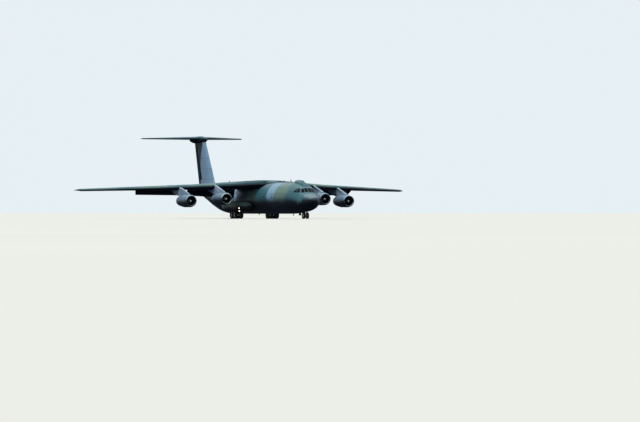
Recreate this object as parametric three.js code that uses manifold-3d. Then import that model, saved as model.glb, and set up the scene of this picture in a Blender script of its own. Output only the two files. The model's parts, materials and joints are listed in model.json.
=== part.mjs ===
// A four-engine, high-wing, T-tail military transport jet, standing on its wheels, as a half-size model.
// Every dimension is the full-size aircraft's, in millimetres; the group at the end is scaled by half.
// X runs forward, Y to port and Z up. The ground is Z 0, and the origin is under the aircraft's middle.
import * as THREE from 'three';
import { mergeVertices } from 'three/addons/utils/BufferGeometryUtils.js';
import Module from 'manifold-3d';

const wasm = await Module();
wasm.setup();

// Driving dimensions
const MODEL_SCALE = 0.5;
const LENGTH = 51290;
const TOUCH = 1; // gap between pieces that rest on each other
const CLEAR = 14; // gap round pieces that move
const WALL = 90; // fuselage skin, frames and lining together
const ROUND = 24; // sides of the fuselage section
const FAR = 60000; // longer than the aircraft, for cutting tools

const FLOOR_TOP = 1400;
const BARREL_RADIUS = 2160;
const BARREL_HEIGHT = 2850;
const SPLITS = { radome: 1300, flightDeck: 7400, hold: 31900, end: 47400 };

const WING_ROOT_Y = 1250;
const JACK_PAD = {
  radius: 90,
  belly: { station: 12600, z: 640 },
  wing: { station: 21000, y: 5200, z: 3980 },
};
const NOSE_GEAR = { station: 3300, radius: 457, width: 280, halfTrack: 260, axle: 60 };
const MAIN_GEAR = {
  station: 23500, radius: 560, width: 400, halfTrack: 430, axle: 75, spread: 620, y: 2670,
};

const FLAP_REST = 40; // degrees that the flaps hang down at rest

const noseX = LENGTH / 2;
const atStation = (s) => noseX - s; // stations count aft from the nose
const radians = THREE.MathUtils.degToRad;
const vec = (x, y, z) => new THREE.Vector3(x, y, z);

// Solids: closed geometry in, manifold solid out, and back again
function solid(geometry, matrix = new THREE.Matrix4()) {
  const plain = geometry.index ? geometry.toNonIndexed() : geometry.clone();
  for (const name of Object.keys(plain.attributes)) if (name !== 'position') plain.deleteAttribute(name);
  const merged = mergeVertices(plain.applyMatrix4(matrix), 1e-3);
  const triVerts = new Uint32Array(merged.index.array);
  const make = () => new wasm.Manifold(
    new wasm.Mesh({ numProp: 3, vertProperties: merged.attributes.position.array, triVerts }));
  const first = make();
  if (first.volume() >= 0) return first;
  for (let i = 0; i < triVerts.length; i += 3) {
    [triVerts[i + 1], triVerts[i + 2]] = [triVerts[i + 2], triVerts[i + 1]];
  }
  return make();
}

function geometryOf(body) {
  const mesh = body.getMesh();
  const positions = new Float32Array(mesh.numVert * 3);
  for (let i = 0; i < mesh.numVert; i++) {
    positions.set(mesh.vertProperties.subarray(i * mesh.numProp, i * mesh.numProp + 3), i * 3);
  }
  return new THREE.BufferGeometry()
    .setAttribute('position', new THREE.BufferAttribute(positions, 3))
    .setIndex(new THREE.BufferAttribute(mesh.triVerts, 1));
}

const moved = (body, x, y, z) => solid(geometryOf(body), new THREE.Matrix4().makeTranslation(x, y, z));
const mirrored = (body) => solid(geometryOf(body), new THREE.Matrix4().makeScale(1, -1, 1));
const union = (bodies) => bodies.reduce((a, b) => a.add(b));
const largest = (body) => body.decompose().sort((a, b) => b.volume() - a.volume())[0];

// A body skinned over rings of points, closed by a fan over the first and the last ring
function loft(rings) {
  const count = rings[0].length;
  const points = rings.flat();
  const faces = [];
  for (let r = 0; r + 1 < rings.length; r++) {
    for (let i = 0; i < count; i++) {
      const [a, b] = [r * count + i, r * count + ((i + 1) % count)];
      faces.push(a, b, b + count, a, b + count, a + count);
    }
  }
  for (const [start, flip] of [[0, true], [(rings.length - 1) * count, false]]) {
    const middle = points.slice(start, start + count).reduce((m, p) => m.add(p), vec(0, 0, 0));
    const hub = points.push(middle.divideScalar(count)) - 1;
    for (let i = 0; i < count; i++) {
      const pair = [start + i, start + ((i + 1) % count)];
      faces.push(hub, ...(flip ? pair.reverse() : pair));
    }
  }
  return solid(new THREE.BufferGeometry().setFromPoints(points).setIndex(faces));
}

// A box between two stations and two corners, and a cylinder between two points
function block(stations, ys, zs) {
  const [x1, x0] = stations.map(atStation);
  const size = [x1 - x0, ys[1] - ys[0], zs[1] - zs[0]];
  const middle = [(x1 + x0) / 2, (ys[1] + ys[0]) / 2, (zs[1] + zs[0]) / 2];
  return solid(new THREE.BoxGeometry(...size), new THREE.Matrix4().makeTranslation(...middle));
}

function rod(from, to, radius, endRadius = radius, sides = 12) {
  const along = to.clone().sub(from);
  const turn = new THREE.Quaternion().setFromUnitVectors(vec(0, 1, 0), along.clone().normalize());
  const matrix = new THREE.Matrix4().compose(from.clone().lerp(to, 0.5), turn, vec(1, 1, 1));
  return solid(new THREE.CylinderGeometry(endRadius, radius, along.length(), sides), matrix);
}

// A body of revolution about a line parallel to X: the profile's columns are distance aft and radius
function turned(profile, station, y, z, sides = 24) {
  const outline = profile.map(([aft, radius]) => new THREE.Vector2(radius, aft));
  const matrix = new THREE.Matrix4().makeTranslation(atStation(station), y, z)
    .multiply(new THREE.Matrix4().makeRotationZ(Math.PI / 2));
  return solid(new THREE.LatheGeometry([...outline, outline[0].clone()], sides), matrix);
}

// A straight-sided cutter from an outline in plan (x, y) or in side view (x, z)
function prism(outline, sideView = false) {
  const shape = new THREE.Shape(outline.map(([x, v]) => new THREE.Vector2(x, v)));
  const geometry = new THREE.ExtrudeGeometry(shape, { depth: FAR, bevelEnabled: false });
  const matrix = new THREE.Matrix4().makeTranslation(0, 0, -FAR / 2);
  if (sideView) matrix.premultiply(new THREE.Matrix4().makeRotationX(Math.PI / 2));
  return solid(geometry, matrix);
}

// Knuckles on a hinge line: each panel gets its own barrels and is cut clear of the other's
function knuckled(fixed, swinging, from, to, places, radius, width) {
  const along = to.clone().sub(from).normalize();
  for (const place of places) {
    const middle = from.clone().lerp(to, place);
    const at = (d) => middle.clone().addScaledVector(along, d);
    const barrel = (a, b, r) => rod(at(a), at(b), r, r, 10);
    fixed = fixed.subtract(barrel(-TOUCH / 2, width + CLEAR, radius + CLEAR))
      .add(barrel(-width, -TOUCH, radius));
    swinging = swinging.subtract(barrel(-width - CLEAR, -TOUCH / 2, radius + CLEAR))
      .add(barrel(0, width, radius));
  }
  return [fixed, swinging];
}

// Fuselage sections: station, belly height, crown height, half width
const FUSELAGE = [
  [0, 2440, 2540, 55],
  [120, 2150, 2820, 400],
  [380, 1820, 3060, 710],
  [760, 1550, 3260, 1000],
  [1300, 1310, 3460, 1280],
  [1950, 1130, 3650, 1530],
  [2750, 1000, 4220, 1760],
  [3500, 930, 4530, 1910],
  [4600, 840, 4830, 2060],
  [6400, 740, 5000, 2160],
  [8600, 690, 5010, 2160],
  [31500, 690, 5010, 2160],
  [34000, 850, 5010, 2150],
  [36500, 1350, 5005, 2030],
  [39500, 2130, 4985, 1690],
  [43000, 3050, 4930, 1240],
  [46200, 4010, 4800, 480],
  [47300, 4420, 4620, 90],
];

function fuselageBody(inset) {
  const roomy = ([, belly, crown, half]) => Math.min((crown - belly) / 2, half) > inset + 60;
  const rows = inset > 0 ? FUSELAGE.filter(roomy) : FUSELAGE;
  return loft(rows.map(([s, belly, crown, half], row) => {
    const end = inset > 0 && (row === 0 || row === rows.length - 1) ? inset : 0;
    const x = atStation(s) + (row === 0 ? -end : end);
    const [middle, tall, wide] = [(belly + crown) / 2, (crown - belly) / 2 - inset, half - inset];
    return Array.from({ length: ROUND }, (_, i) => {
      const angle = (2 * Math.PI * (i + 0.5)) / ROUND;
      return vec(x, wide * Math.cos(angle), middle + tall * Math.sin(angle));
    });
  }));
}

const hull = fuselageBody(0);
const hullGrown = fuselageBody(-TOUCH);
const cavity = fuselageBody(WALL);
const cavityShrunk = fuselageBody(WALL + TOUCH);
const skin = hull.subtract(cavity);
const slice = (from, to) => block([from, to - TOUCH], [-4000, 4000], [0, 6000]);

// A round jacking pad with its flat face down
function jackPad(place, height) {
  const [x, y] = [atStation(place.station), place.y ?? 0];
  return rod(vec(x, y, place.z), vec(x, y, place.z + height), JACK_PAD.radius, JACK_PAD.radius, 16);
}

// Rear loading doors. Each petal turns about a straight line outside the skin, and its edges lie in the
// plane through that line and in planes square to it, so that nothing binds as it swings.
const PETAL = { from: vec(atStation(36640), 1975, 2700), to: vec(atStation(42600), 1290, 3760) };
const RAMP = { station: 32000, end: 36450, half: 1400, hingeZ: 690, topEnd: 1760, lean: 210 };

function petalRegion(margin, centreGap) {
  const along = PETAL.to.clone().sub(PETAL.from);
  const length = along.length();
  const ax = along.clone().normalize();
  const down = vec(0, 1, 0).cross(ax).normalize();
  const side = down.clone().cross(ax);
  const frame = new THREE.Matrix4().makeBasis(ax, side, down).setPosition(PETAL.from);
  const depth = 4000;
  const box = new THREE.BoxGeometry(length + 2 * margin, 2 * depth, depth + margin)
    .translate(length / 2, 0, (down.z < 0 ? 1 : -1) * (depth - margin) / 2);
  return solid(box, frame).intersect(block([30000, 48000], [centreGap, 4000], [0, 6000]));
}

function rampRegion(margin) {
  const { station, end, half, topEnd, lean } = RAMP;
  const [front, rear] = [atStation(station - margin), atStation(end + margin)];
  const outline = [[front, 300], [rear, 300], [rear, 1300], [rear + lean, topEnd + margin],
    [front, FLOOR_TOP + margin]];
  return prism(outline, true).intersect(block([30000, 40000], [-half - margin, half + margin], [0, 6000]));
}

function rearFuselage() {
  const petal = skin.intersect(petalRegion(0, CLEAR));
  const ramp = hull.intersect(rampRegion(0));
  let fixed = skin.intersect(slice(SPLITS.hold, SPLITS.end))
    .subtract(petalRegion(CLEAR, -1))
    .subtract(mirrored(petalRegion(CLEAR, -1)))
    .subtract(rampRegion(CLEAR));
  const places = [0.12, 0.5, 0.86];
  let portPetal;
  [fixed, portPetal] = knuckled(fixed, petal, PETAL.from, PETAL.to, places, 70, 160);
  const mirrorFrom = PETAL.from.clone().setY(-PETAL.from.y);
  const mirrorTo = PETAL.to.clone().setY(-PETAL.to.y);
  [fixed] = knuckled(fixed, petal, mirrorFrom, mirrorTo, places, 70, 160);
  const hinge = [-1, 1].map((side) => vec(atStation(RAMP.station), side * RAMP.half, RAMP.hingeZ));
  return { fixed, portPetal, ramp, hinge };
}

// Crew door in the port side, hinged along its sill
const CREW_DOOR = { front: 5350, rear: 6250, sill: 1560, head: 3080, hinge: [1634, 1694] };

function forwardFuselage() {
  const { front, rear, sill, head, hinge } = CREW_DOOR;
  const opening = (m) => block([front - m, rear + m], [1000, 3000], [sill - m, head + m]);
  const height = sill - CLEAR / 2;
  const axis = [vec(atStation(front), hinge[0], height), vec(atStation(rear), hinge[1], height)];
  let shell = skin.intersect(slice(SPLITS.radome, SPLITS.flightDeck)).subtract(windowCutters())
    .subtract(noseBay(0)).subtract(opening(CLEAR));
  let door = skin.intersect(opening(0));
  [shell, door] = knuckled(shell, door, ...axis, [0.2, 0.8], 50, 110);
  return { shell, door, axis };
}

// Windscreen: panes seen from ahead (y, z) and from the side (station, z)
const FRONT_PANES = [
  [[45, 3640], [45, 4190], [430, 4165], [475, 3630]],
  [[545, 3620], [495, 4150], [780, 4075], [1000, 3600]],
];
const SIDE_PANES = [
  [[2450, 3600], [2850, 4080], [2955, 4115], [2965, 3600]],
  [[3060, 3600], [3040, 4150], [3250, 4185], [3640, 3640]],
];

function windowCutters() {
  const cutters = FRONT_PANES.map((pane) => {
    const shape = new THREE.Shape(pane.map(([y, z]) => new THREE.Vector2(y, z)));
    const geometry = new THREE.ExtrudeGeometry(shape, { depth: 1900, bevelEnabled: false });
    const basis = new THREE.Matrix4().makeBasis(vec(0, 1, 0), vec(0, 0, 1), vec(1, 0, 0));
    return solid(geometry, basis.setPosition(atStation(3000), 0, 0));
  });
  const portHalf = block([2000, 5000], [400, 3000], [3000, 5000]);
  for (const pane of SIDE_PANES) {
    cutters.push(prism(pane.map(([s, z]) => [atStation(s), z]), true).intersect(portHalf));
  }
  const port = union(cutters);
  return port.add(mirrored(port));
}

// Nose gear bay, whose tub hangs from the flight deck
const BAY = { front: 2650, rear: 4950, half: 330, roof: 1800, wall: 40 };
const noseBay = (m) => block([BAY.front - m, BAY.rear + m], [-BAY.half - m, BAY.half + m],
  [400, BAY.roof + m]);

// Flight deck: its floor, rear bulkhead with a doorway, and gear bay tub
const DECK = { top: 2440, thickness: 90, front: 1500, rear: 7300 };

// Fairing over the refuelling receptacle, on the crown behind the windscreen: station, top, half width
const RECEPTACLE = [
  [2880, 4300, 40],
  [3250, 4620, 330],
  [3900, 4980, 520],
  [4800, 5230, 620],
  [5700, 5330, 620],
  [6600, 5290, 470],
  [7380, 5060, 120],
];

function receptacleFairing() {
  const body = loft(RECEPTACLE.map(([s, top, wide]) => Array.from({ length: 16 }, (_, i) => {
    const angle = (2 * Math.PI * (i + 0.5)) / 16;
    return vec(atStation(s), wide * Math.cos(angle), top - 600 + 600 * Math.sin(angle));
  })));
  return largest(body.subtract(hullGrown));
}

function flightDeck() {
  const floor = block([DECK.front, DECK.rear], [-3000, 3000], [DECK.top - DECK.thickness, DECK.top]);
  const bulkhead = block([DECK.rear - 80, DECK.rear], [-3000, 3000], [FLOOR_TOP, 6000])
    .subtract(block([7000, 7600], [-400, 400], [DECK.top, DECK.top + 1900]))
    .subtract(block([7000, 7600], [600, 1400], [FLOOR_TOP + 60, FLOOR_TOP + 2200]));
  const entry = block([5000, 6700], [700, 3000], [0, 6000]);
  const tub = noseBay(BAY.wall).intersect(block([0, 9000], [-2000, 2000], [0, DECK.top - 10]))
    .subtract(noseBay(0));
  const web = block([3300, 4300], [-30, 30], [BAY.roof + 10, DECK.top - 10]);
  return union([floor.subtract(entry), bulkhead, tub, web]).intersect(cavityShrunk);
}

function cockpitFittings() {
  const seat = (y) => union([
    block([3060, 3560], [y - 250, y + 250], [DECK.top + 380, DECK.top + 500]),
    block([3520, 3640], [y - 250, y + 250], [DECK.top + 440, DECK.top + 1180]),
    block([3180, 3480], [y - 120, y + 120], [DECK.top + TOUCH, DECK.top + 400]),
  ]);
  const console = block([2300, 3700], [-190, 190], [DECK.top + TOUCH, DECK.top + 520]);
  const shelf = block([3250, 3400], [-560, 560], [DECK.top + TOUCH, DECK.top + 90]);
  const panel = block([2180, 2340], [-900, 900], [DECK.top + TOUCH, DECK.top + 900]);
  const hood = block([2180, 2620], [-900, 900], [DECK.top + 860, DECK.top + 960]);
  return union([seat(480), seat(-480), console, shelf, panel, hood]).intersect(cavityShrunk);
}

// Lifting surfaces. Columns: span position, leading-edge station, chord, thickness ratio, offset, incidence
const WING = [
  [WING_ROOT_Y, 15300 + WING_ROOT_Y * 0.516, 9650, 0.13, 4520, 4.0],
  [9900, 20410, 6400, 0.12, 4300, 1.2],
  [23900, 27630, 3300, 0.105, 3960, 0],
  [24370, 28150, 2600, 0.06, 3955, 0],
];
const TAILPLANE = [
  [0, 45633, 4400, 0.11, 11600, 0],
  [7450, 49432, 1820, 0.1, 11600, 0],
  [7660, 49760, 1530, 0.06, 11600, 0],
];
const FIN = [
  [4300, 39760, 6900, 0.12, 0, 0],
  [11300, 44306, 4550, 0.11, 0, 0],
];
const CHORDWISE = [0, 0.012, 0.05, 0.14, 0.28, 0.45, 0.62, 0.8, 1];
const CAMBER = 0.018;

// Half thickness of the section at a share of the chord, as a share of the chord
function halfThickness(share, ratio) {
  const [a, b, c, d, e] = [0.2969, -0.126, -0.3516, 0.2843, -0.1015];
  return 5 * ratio * (a * Math.sqrt(share) + b * share + c * share ** 2 + d * share ** 3 + e * share ** 4);
}

function rowAt(table, span) {
  const after = Math.max(1, table.findIndex(([s]) => s >= span - 1e-6));
  const [low, high] = [table[after - 1], table[after]];
  const share = (span - low[0]) / (high[0] - low[0]);
  return low.map((value, i) => value + (high[i] - value) * share);
}

// A point of a surface: upright surfaces, such as the fin, span along Z and are thick along Y
function surfacePoint(row, share, height, upright) {
  const [span, edge, chord, , offset, incidence] = row;
  const [along, up, tilt] = [(share - 0.4) * chord, height * chord, radians(incidence)];
  const aft = edge + 0.4 * chord + along * Math.cos(tilt) + up * Math.sin(tilt);
  const rise = offset - along * Math.sin(tilt) + up * Math.cos(tilt);
  return upright ? vec(atStation(aft), rise, span) : vec(atStation(aft), span, rise);
}

function liftingSurface(table, upright = false) {
  return loft(table.map((row) => {
    const ratio = row[3];
    const camber = (share) => (upright ? 0 : CAMBER * 4 * share * (1 - share));
    const half = (share) => halfThickness(share, ratio) + (share === 1 ? 0.0008 : 0);
    const upper = CHORDWISE.map((share) => surfacePoint(row, share, camber(share) + half(share), upright));
    const lower = CHORDWISE.slice(1).reverse()
      .map((share) => surfacePoint(row, share, camber(share) - half(share), upright));
    return [...upper, ...lower];
  }));
}

// The space inside a surface, from its root to a span position, between two shares of the chord
function spaceInside(table, wall, shares, end, upright = false) {
  const rows = [...table.filter(([span]) => span < end), rowAt(table, end)];
  return loft(rows.map((row) => {
    const camber = (share) => (upright ? 0 : CAMBER * 4 * share * (1 - share));
    const half = (share) => halfThickness(share, row[3]) - wall / row[2];
    const upper = shares.map((share) => surfacePoint(row, share, camber(share) + half(share), upright));
    const lower = [...shares].reverse()
      .map((share) => surfacePoint(row, share, camber(share) - half(share), upright));
    return [...upper, ...lower];
  }));
}

// The hinge line of a control surface at a share of the chord, between two span positions
function hingeLine(table, share, spans, upright = false) {
  const camber = upright ? 0 : CAMBER * 4 * share * (1 - share);
  const rows = spans.map((span) => rowAt(table, span));
  const [from, to] = rows.map((row) => surfacePoint(row, share, camber, upright));
  const [radiusFrom, radiusTo] = rows.map((row) => 0.93 * halfThickness(share, row[3]) * row[2]);
  return { from, to, radiusFrom, radiusTo };
}

// The region behind a hinge line, with ends square to it; ahead moves its front edge forward
function behindLine({ from, to }, aheadFrom, aheadTo, endMargin, upright) {
  const flat = (p) => new THREE.Vector2(p.x, upright ? p.z : p.y);
  const [a, b] = [flat(from), flat(to)];
  const along = b.clone().sub(a).normalize();
  const ahead = new THREE.Vector2(along.y, -along.x);
  if (ahead.x < 0) ahead.negate();
  const corner = (p, end, forward) => p.clone().addScaledVector(along, end).addScaledVector(ahead, forward);
  const back = -4500;
  const corners = [corner(a, -endMargin, aheadFrom), corner(b, endMargin, aheadTo),
    corner(b, endMargin, back), corner(a, -endMargin, back)];
  return prism(corners.map((c) => [c.x, c.y]), upright);
}

// Splits a surface with a plain hinged flap: a round nose turns in a cove, and two ribs reach the nose
function hingedOff(surface, line, upright = false) {
  const { from, to, radiusFrom, radiusTo } = line;
  const nose = rod(from, to, radiusFrom, radiusTo, 16);
  const flap = surface.intersect(behindLine(line, 0, 0, 0, upright)).add(nose);
  const seat = behindLine(line, radiusFrom + TOUCH, radiusTo + TOUCH, CLEAR, upright);
  const ribs = [0.2, 0.5, 0.8].map((place) => {
    const width = 70 / from.distanceTo(to);
    const ends = [from.clone().lerp(to, place - width / 2), from.clone().lerp(to, place + width / 2)];
    return behindLine({ from: ends[0], to: ends[1] }, 400, 400, 0, upright);
  });
  const cove = behindLine(line, radiusFrom + CLEAR, radiusTo + CLEAR, CLEAR, upright).subtract(union(ribs));
  return { rest: surface.subtract(seat).subtract(cove), flap };
}

// Wing, one side. Flaps drop about a line below the wing, carried by arms beside fixed fairings.
const FLAPS = {
  inboard: { share: 0.79, below: 200, spans: [2750, 9300], reach: 1500 },
  outboard: { share: 0.77, below: 180, spans: [9700, 16300], reach: 1150 },
};
const AILERON = { share: 0.76, spans: [16600, 23600] };

function flapParts(wing, { share, below, spans, reach }) {
  const line = hingeLine(WING, share, spans);
  const flap = wing.intersect(behindLine(line, 0, 0, 0, false));
  const cut = behindLine(line, CLEAR, CLEAR, CLEAR, false);
  const drops = [line.radiusFrom, line.radiusTo].map((radius) => radius / 0.93 + below);
  const axis = [line.from, line.to].map((p, i) => p.clone().add(vec(0, 0, -drops[i])));
  const along = axis[1].clone().sub(axis[0]).normalize();
  const up = vec(1, 0, 0).cross(along).normalize();
  const ahead = along.clone().cross(up);
  const plate = (middle, from, to, outline) => {
    const shape = new THREE.Shape(outline.map(([x, z]) => new THREE.Vector2(x, z)));
    const geometry = new THREE.ExtrudeGeometry(shape, { depth: to - from, bevelEnabled: false });
    const frame = new THREE.Matrix4().makeBasis(ahead, up, along.clone().negate()).setPosition(middle);
    return solid(geometry.translate(0, 0, -to), frame);
  };
  const fixed = [];
  const arms = [];
  for (const place of [0.12, 0.5, 0.88]) {
    const middle = axis[0].clone().lerp(axis[1], place);
    const drop = drops[0] + (drops[1] - drops[0]) * place;
    const onAxis = (d) => middle.clone().addScaledVector(along, d);
    const boss = (a, b) => rod(onAxis(a), onAxis(b), 90, 90, 12);
    const [ahead0, front] = [CLEAR + 8, reach];
    fixed.push(plate(middle, -150, -TOUCH, [[-50, -88], [ahead0 + 20, -88], [ahead0 + 20, 88], [-50, 88]]));
    fixed.push(plate(middle, -150, 90, [[ahead0 + CLEAR + 80, -88], [0.3 * front, -60], [front, below + 60],
      [0.8 * front, below + 150], [ahead0 + CLEAR + 80, below + 100]]));
    fixed.push(plate(middle, -150, -TOUCH, [[ahead0, -88], [ahead0 + CLEAR + 81, -88],
      [ahead0 + CLEAR + 81, below + 100], [ahead0, below + 100]]));
    fixed.push(boss(-150, -TOUCH));
    const arm = [[0, -80], [0, drop], [-reach / 3, drop - reach / 25], [-110, 0]];
    arms.push(boss(0, 90).add(plate(middle, 0, 90, arm)));
  }
  return { body: union([flap, ...arms]), cut, axis, fixed };
}

function wingParts() {
  const whole = liftingSurface(WING);
  let wing = whole;
  const flaps = {};
  for (const [name, row] of Object.entries(FLAPS)) {
    flaps[name] = flapParts(whole, row);
    wing = union([wing.subtract(flaps[name].cut), ...flaps[name].fixed]);
  }
  const aileronLine = hingeLine(WING, AILERON.share, AILERON.spans);
  const split = hingedOff(wing, aileronLine);
  const jacked = split.rest.subtract(hullGrown).add(jackPad(JACK_PAD.wing, 250));
  return { wing: jacked, aileron: split.flap, aileronLine, flaps, whole };
}

// Centre section over the fuselage, with the crown fairing ahead of it and behind it
const CROWN = [
  [12900, 4940, 100],
  [13900, 5080, 600],
  [15600, 5160, 1100],
  [20000, 5250, 1249],
  [24500, 5200, 1249],
  [27200, 5100, 800],
  [28900, 4950, 100],
];

function wingCentre() {
  const half = WING_ROOT_Y - TOUCH;
  const root = WING[0];
  const box = liftingSurface([[-half, ...root.slice(1)], [half, ...root.slice(1)]]);
  const crown = loft(CROWN.map(([s, top, wide]) => Array.from({ length: 20 }, (_, i) => {
    const angle = (2 * Math.PI * (i + 0.5)) / 20;
    return vec(atStation(s), wide * Math.cos(angle), 4500 + (top - 4500) * Math.sin(angle));
  })));
  return largest(box.add(crown).subtract(hullGrown));
}

// Main gear pods on the fuselage sides. Columns: station, middle y, half width, bottom, top
const POD = [
  [19450, 2250, 450, 1250, 1850],
  [19650, 2260, 850, 1060, 2120],
  [20300, 2280, 1200, 930, 2350],
  [21600, 2290, 1350, 880, 2450],
  [25800, 2290, 1350, 880, 2450],
  [28200, 2180, 980, 1060, 2350],
  [30400, 2060, 220, 1500, 2100],
];
const WELL = { front: 22650, rear: 24350, inner: 2420, outer: 2920, roof: 1760 };
const WHEEL_WELL = { front: 22180, rear: 24820, inner: 1970, outer: 3380, roof: 1200 };

function podBody(rows, wall) {
  const square = (v) => Math.sign(v) * Math.abs(v) ** 0.8;
  return loft(rows.map(([s, y, wide, bottom, top]) => Array.from({ length: 20 }, (_, i) => {
    const angle = (2 * Math.PI * (i + 0.5)) / 20;
    const [across, up] = [(wide - wall) * square(Math.cos(angle)),
      ((top - bottom) / 2 - wall) * square(Math.sin(angle))];
    return vec(atStation(s), y + across, (top + bottom) / 2 + up);
  })));
}

function gearPod() {
  const wells = [WELL, WHEEL_WELL].map(({ front, rear, inner, outer, roof }) => (
    block([front, rear], [inner, outer], [0, roof])));
  const solidPart = block([WHEEL_WELL.front - 200, WHEEL_WELL.rear + 200], [0, 5000], [0, 5000]);
  const inside = podBody(POD.slice(1, -1), 60).subtract(solidPart);
  return podBody(POD, 0).subtract(hullGrown).subtract(inside).subtract(union(wells));
}

// Wheels: two tyres on one axle, which turns in the leg
function tyreProfile({ radius, width }) {
  const [half, tread] = [width / 2, width * 0.36];
  return [[-half, radius * 0.6], [-half, radius * 0.86], [-tread, radius], [tread, radius],
    [half, radius * 0.86], [half, radius * 0.6], [half * 0.55, radius * 0.55],
    [half * 0.55, 0], [-half * 0.55, 0], [-half * 0.55, radius * 0.55]];
}

function wheelPair(gear, station, y) {
  const outline = tyreProfile(gear).map(([w, r]) => new THREE.Vector2(r, w));
  const wheel = (side) => solid(new THREE.LatheGeometry([...outline, outline[0].clone()], 18),
    new THREE.Matrix4().makeTranslation(atStation(station), y + side * gear.halfTrack, gear.radius));
  const reach = gear.halfTrack + gear.width * 0.2;
  const end = (side) => vec(atStation(station), y + side * reach, gear.radius);
  return union([wheel(1), wheel(-1), rod(end(-1), end(1), gear.axle)]);
}

function mainLeg() {
  const { station, spread, y, radius, axle } = MAIN_GEAR;
  const x = atStation(station);
  const inLine = (ahead, z) => vec(x + ahead, y, z);
  const top = WELL.roof - TOUCH;
  const beam = block([station - spread - 150, station + spread + 150], [y - 125, y + 125],
    [radius - 130, radius + 130]);
  const brace = rod(inLine(560, top - 30), inLine(40, 900), 60)
    .intersect(block([WELL.front + 4, WELL.rear], [0, 4000], [0, top]));
  const pieces = [beam, brace, rod(inLine(0, radius), inLine(0, top), 120),
    rod(inLine(0, 980), inLine(0, top), 165), rod(inLine(-60, 980), inLine(-330, 780), 45),
    rod(inLine(-330, 780), inLine(-200, radius + 60), 45)];
  const bores = [-1, 1].map((side) => rod(vec(x + side * spread, y - 400, radius),
    vec(x + side * spread, y + 400, radius), axle + TOUCH));
  return union(pieces).subtract(union(bores));
}

// Nose gear: a fixed upper leg, a steered lower leg, and twin wheels
const STEER_SPLIT = 1010;

function noseLegs() {
  const { station, radius, axle } = NOSE_GEAR;
  const x = atStation(station);
  const roof = BAY.roof - TOUCH;
  const upper = union([
    rod(vec(x, 0, STEER_SPLIT + TOUCH), vec(x, 0, roof), 115),
    rod(vec(x - 40, 0, 1150), vec(x - 900, 0, roof - 60), 55),
    block([station + 820, station + 980], [-120, 120], [roof - 140, roof]),
  ]);
  const lower = union([
    rod(vec(x, 0, radius), vec(x, 0, STEER_SPLIT), 78),
    rod(vec(x, 0, STEER_SPLIT - 70), vec(x, 0, STEER_SPLIT), 120),
    block([station - 95, station + 95], [-100, 100], [radius - 95, radius + 95]),
    rod(vec(x + 80, 0, STEER_SPLIT - 60), vec(x + 250, 0, 760), 34),
    rod(vec(x + 250, 0, 760), vec(x + 70, 0, radius + 60), 34),
  ]).subtract(rod(vec(x, -400, radius), vec(x, 400, radius), axle + TOUCH));
  return { upper, lower };
}

function noseDoor() {
  const y = BAY.half + 4;
  const leaf = block([4020, 4900], [y, y + 34], [470, 1040]);
  return leaf.subtract(hullGrown).subtract(block([0, 9000], [0, 3000], [1035, 2000]));
}

// Engines. Columns of a profile: distance aft of the lip, radius
const ENGINES = [
  ['outboard', 16850, 11700, 2470],
  ['inboard', 14600, 7300, 2750],
];
const COWL = [[0, 700], [70, 780], [450, 855], [1500, 880], [2600, 868], [3600, 790], [4650, 640],
  [4650, 605], [3600, 715], [2600, 740], [900, 740], [300, 655], [60, 665]];
const CORE = [[1500, 0], [1500, 330], [2300, 470], [3600, 500], [4850, 400], [4850, 330], [5200, 0]];
const STRUT = { front: 2500, rear: 3100, count: 4 };
const FAN = { front: 1180, rear: 1499.4, tip: 715, hub: 300, blades: 12 };
const VANE_STATION = 1000;

function cowl(station, y, z) {
  const ring = turned(COWL, station, y, z, 20);
  const bullet = [[180, 0], [235, 95], [370, 170], [700, 245], [1160, 290], [1160, 0]];
  const dome = turned(bullet, station, y, z, 12);
  const vanes = Array.from({ length: 6 }, (_, i) => {
    const angle = (Math.PI * i) / 3;
    const vane = new THREE.BoxGeometry(150, 26, 510).translate(0, 0, 505);
    const matrix = new THREE.Matrix4().makeTranslation(atStation(station + VANE_STATION), y, z)
      .multiply(new THREE.Matrix4().makeRotationX(angle));
    return solid(vane, matrix);
  });
  return union([ring, dome, ...vanes]);
}

function fan(station, y, z) {
  const { front, rear, tip, hub, blades } = FAN;
  const disc = turned([[front, 0], [front, hub], [rear, hub + 20], [rear, 0]], station, y, z, 12);
  const made = Array.from({ length: blades }, (_, i) => {
    const blade = new THREE.BoxGeometry(190, 24, tip - hub + 30).translate(0, 0, (tip + hub - 30) / 2);
    const matrix = new THREE.Matrix4().makeTranslation(atStation(station + (front + rear) / 2), y, z)
      .multiply(new THREE.Matrix4().makeRotationX((2 * Math.PI * i) / blades));
    return solid(blade, matrix);
  });
  return union([disc, ...made]);
}

// The core engine, held in the cowl by struts that reach its lining
function coreEngine(station, y, z) {
  const { front, rear, count } = STRUT;
  const reach = [[1600, 0], [1600, 740 - TOUCH], [2600, 740 - TOUCH], [3600, 715 - TOUCH], [3600, 0]];
  const lining = turned(reach, station, y, z, 20);
  const struts = Array.from({ length: count }, (_, i) => {
    const strut = new THREE.BoxGeometry(rear - front, 44, 500).translate(0, 0, 600);
    const matrix = new THREE.Matrix4().makeTranslation(atStation(station + (front + rear) / 2), y, z)
      .multiply(new THREE.Matrix4().makeRotationX((2 * Math.PI * (i + 0.5)) / count));
    return solid(strut, matrix);
  });
  return union([turned(CORE, station, y, z, 16), union(struts).intersect(lining)]);
}

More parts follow.
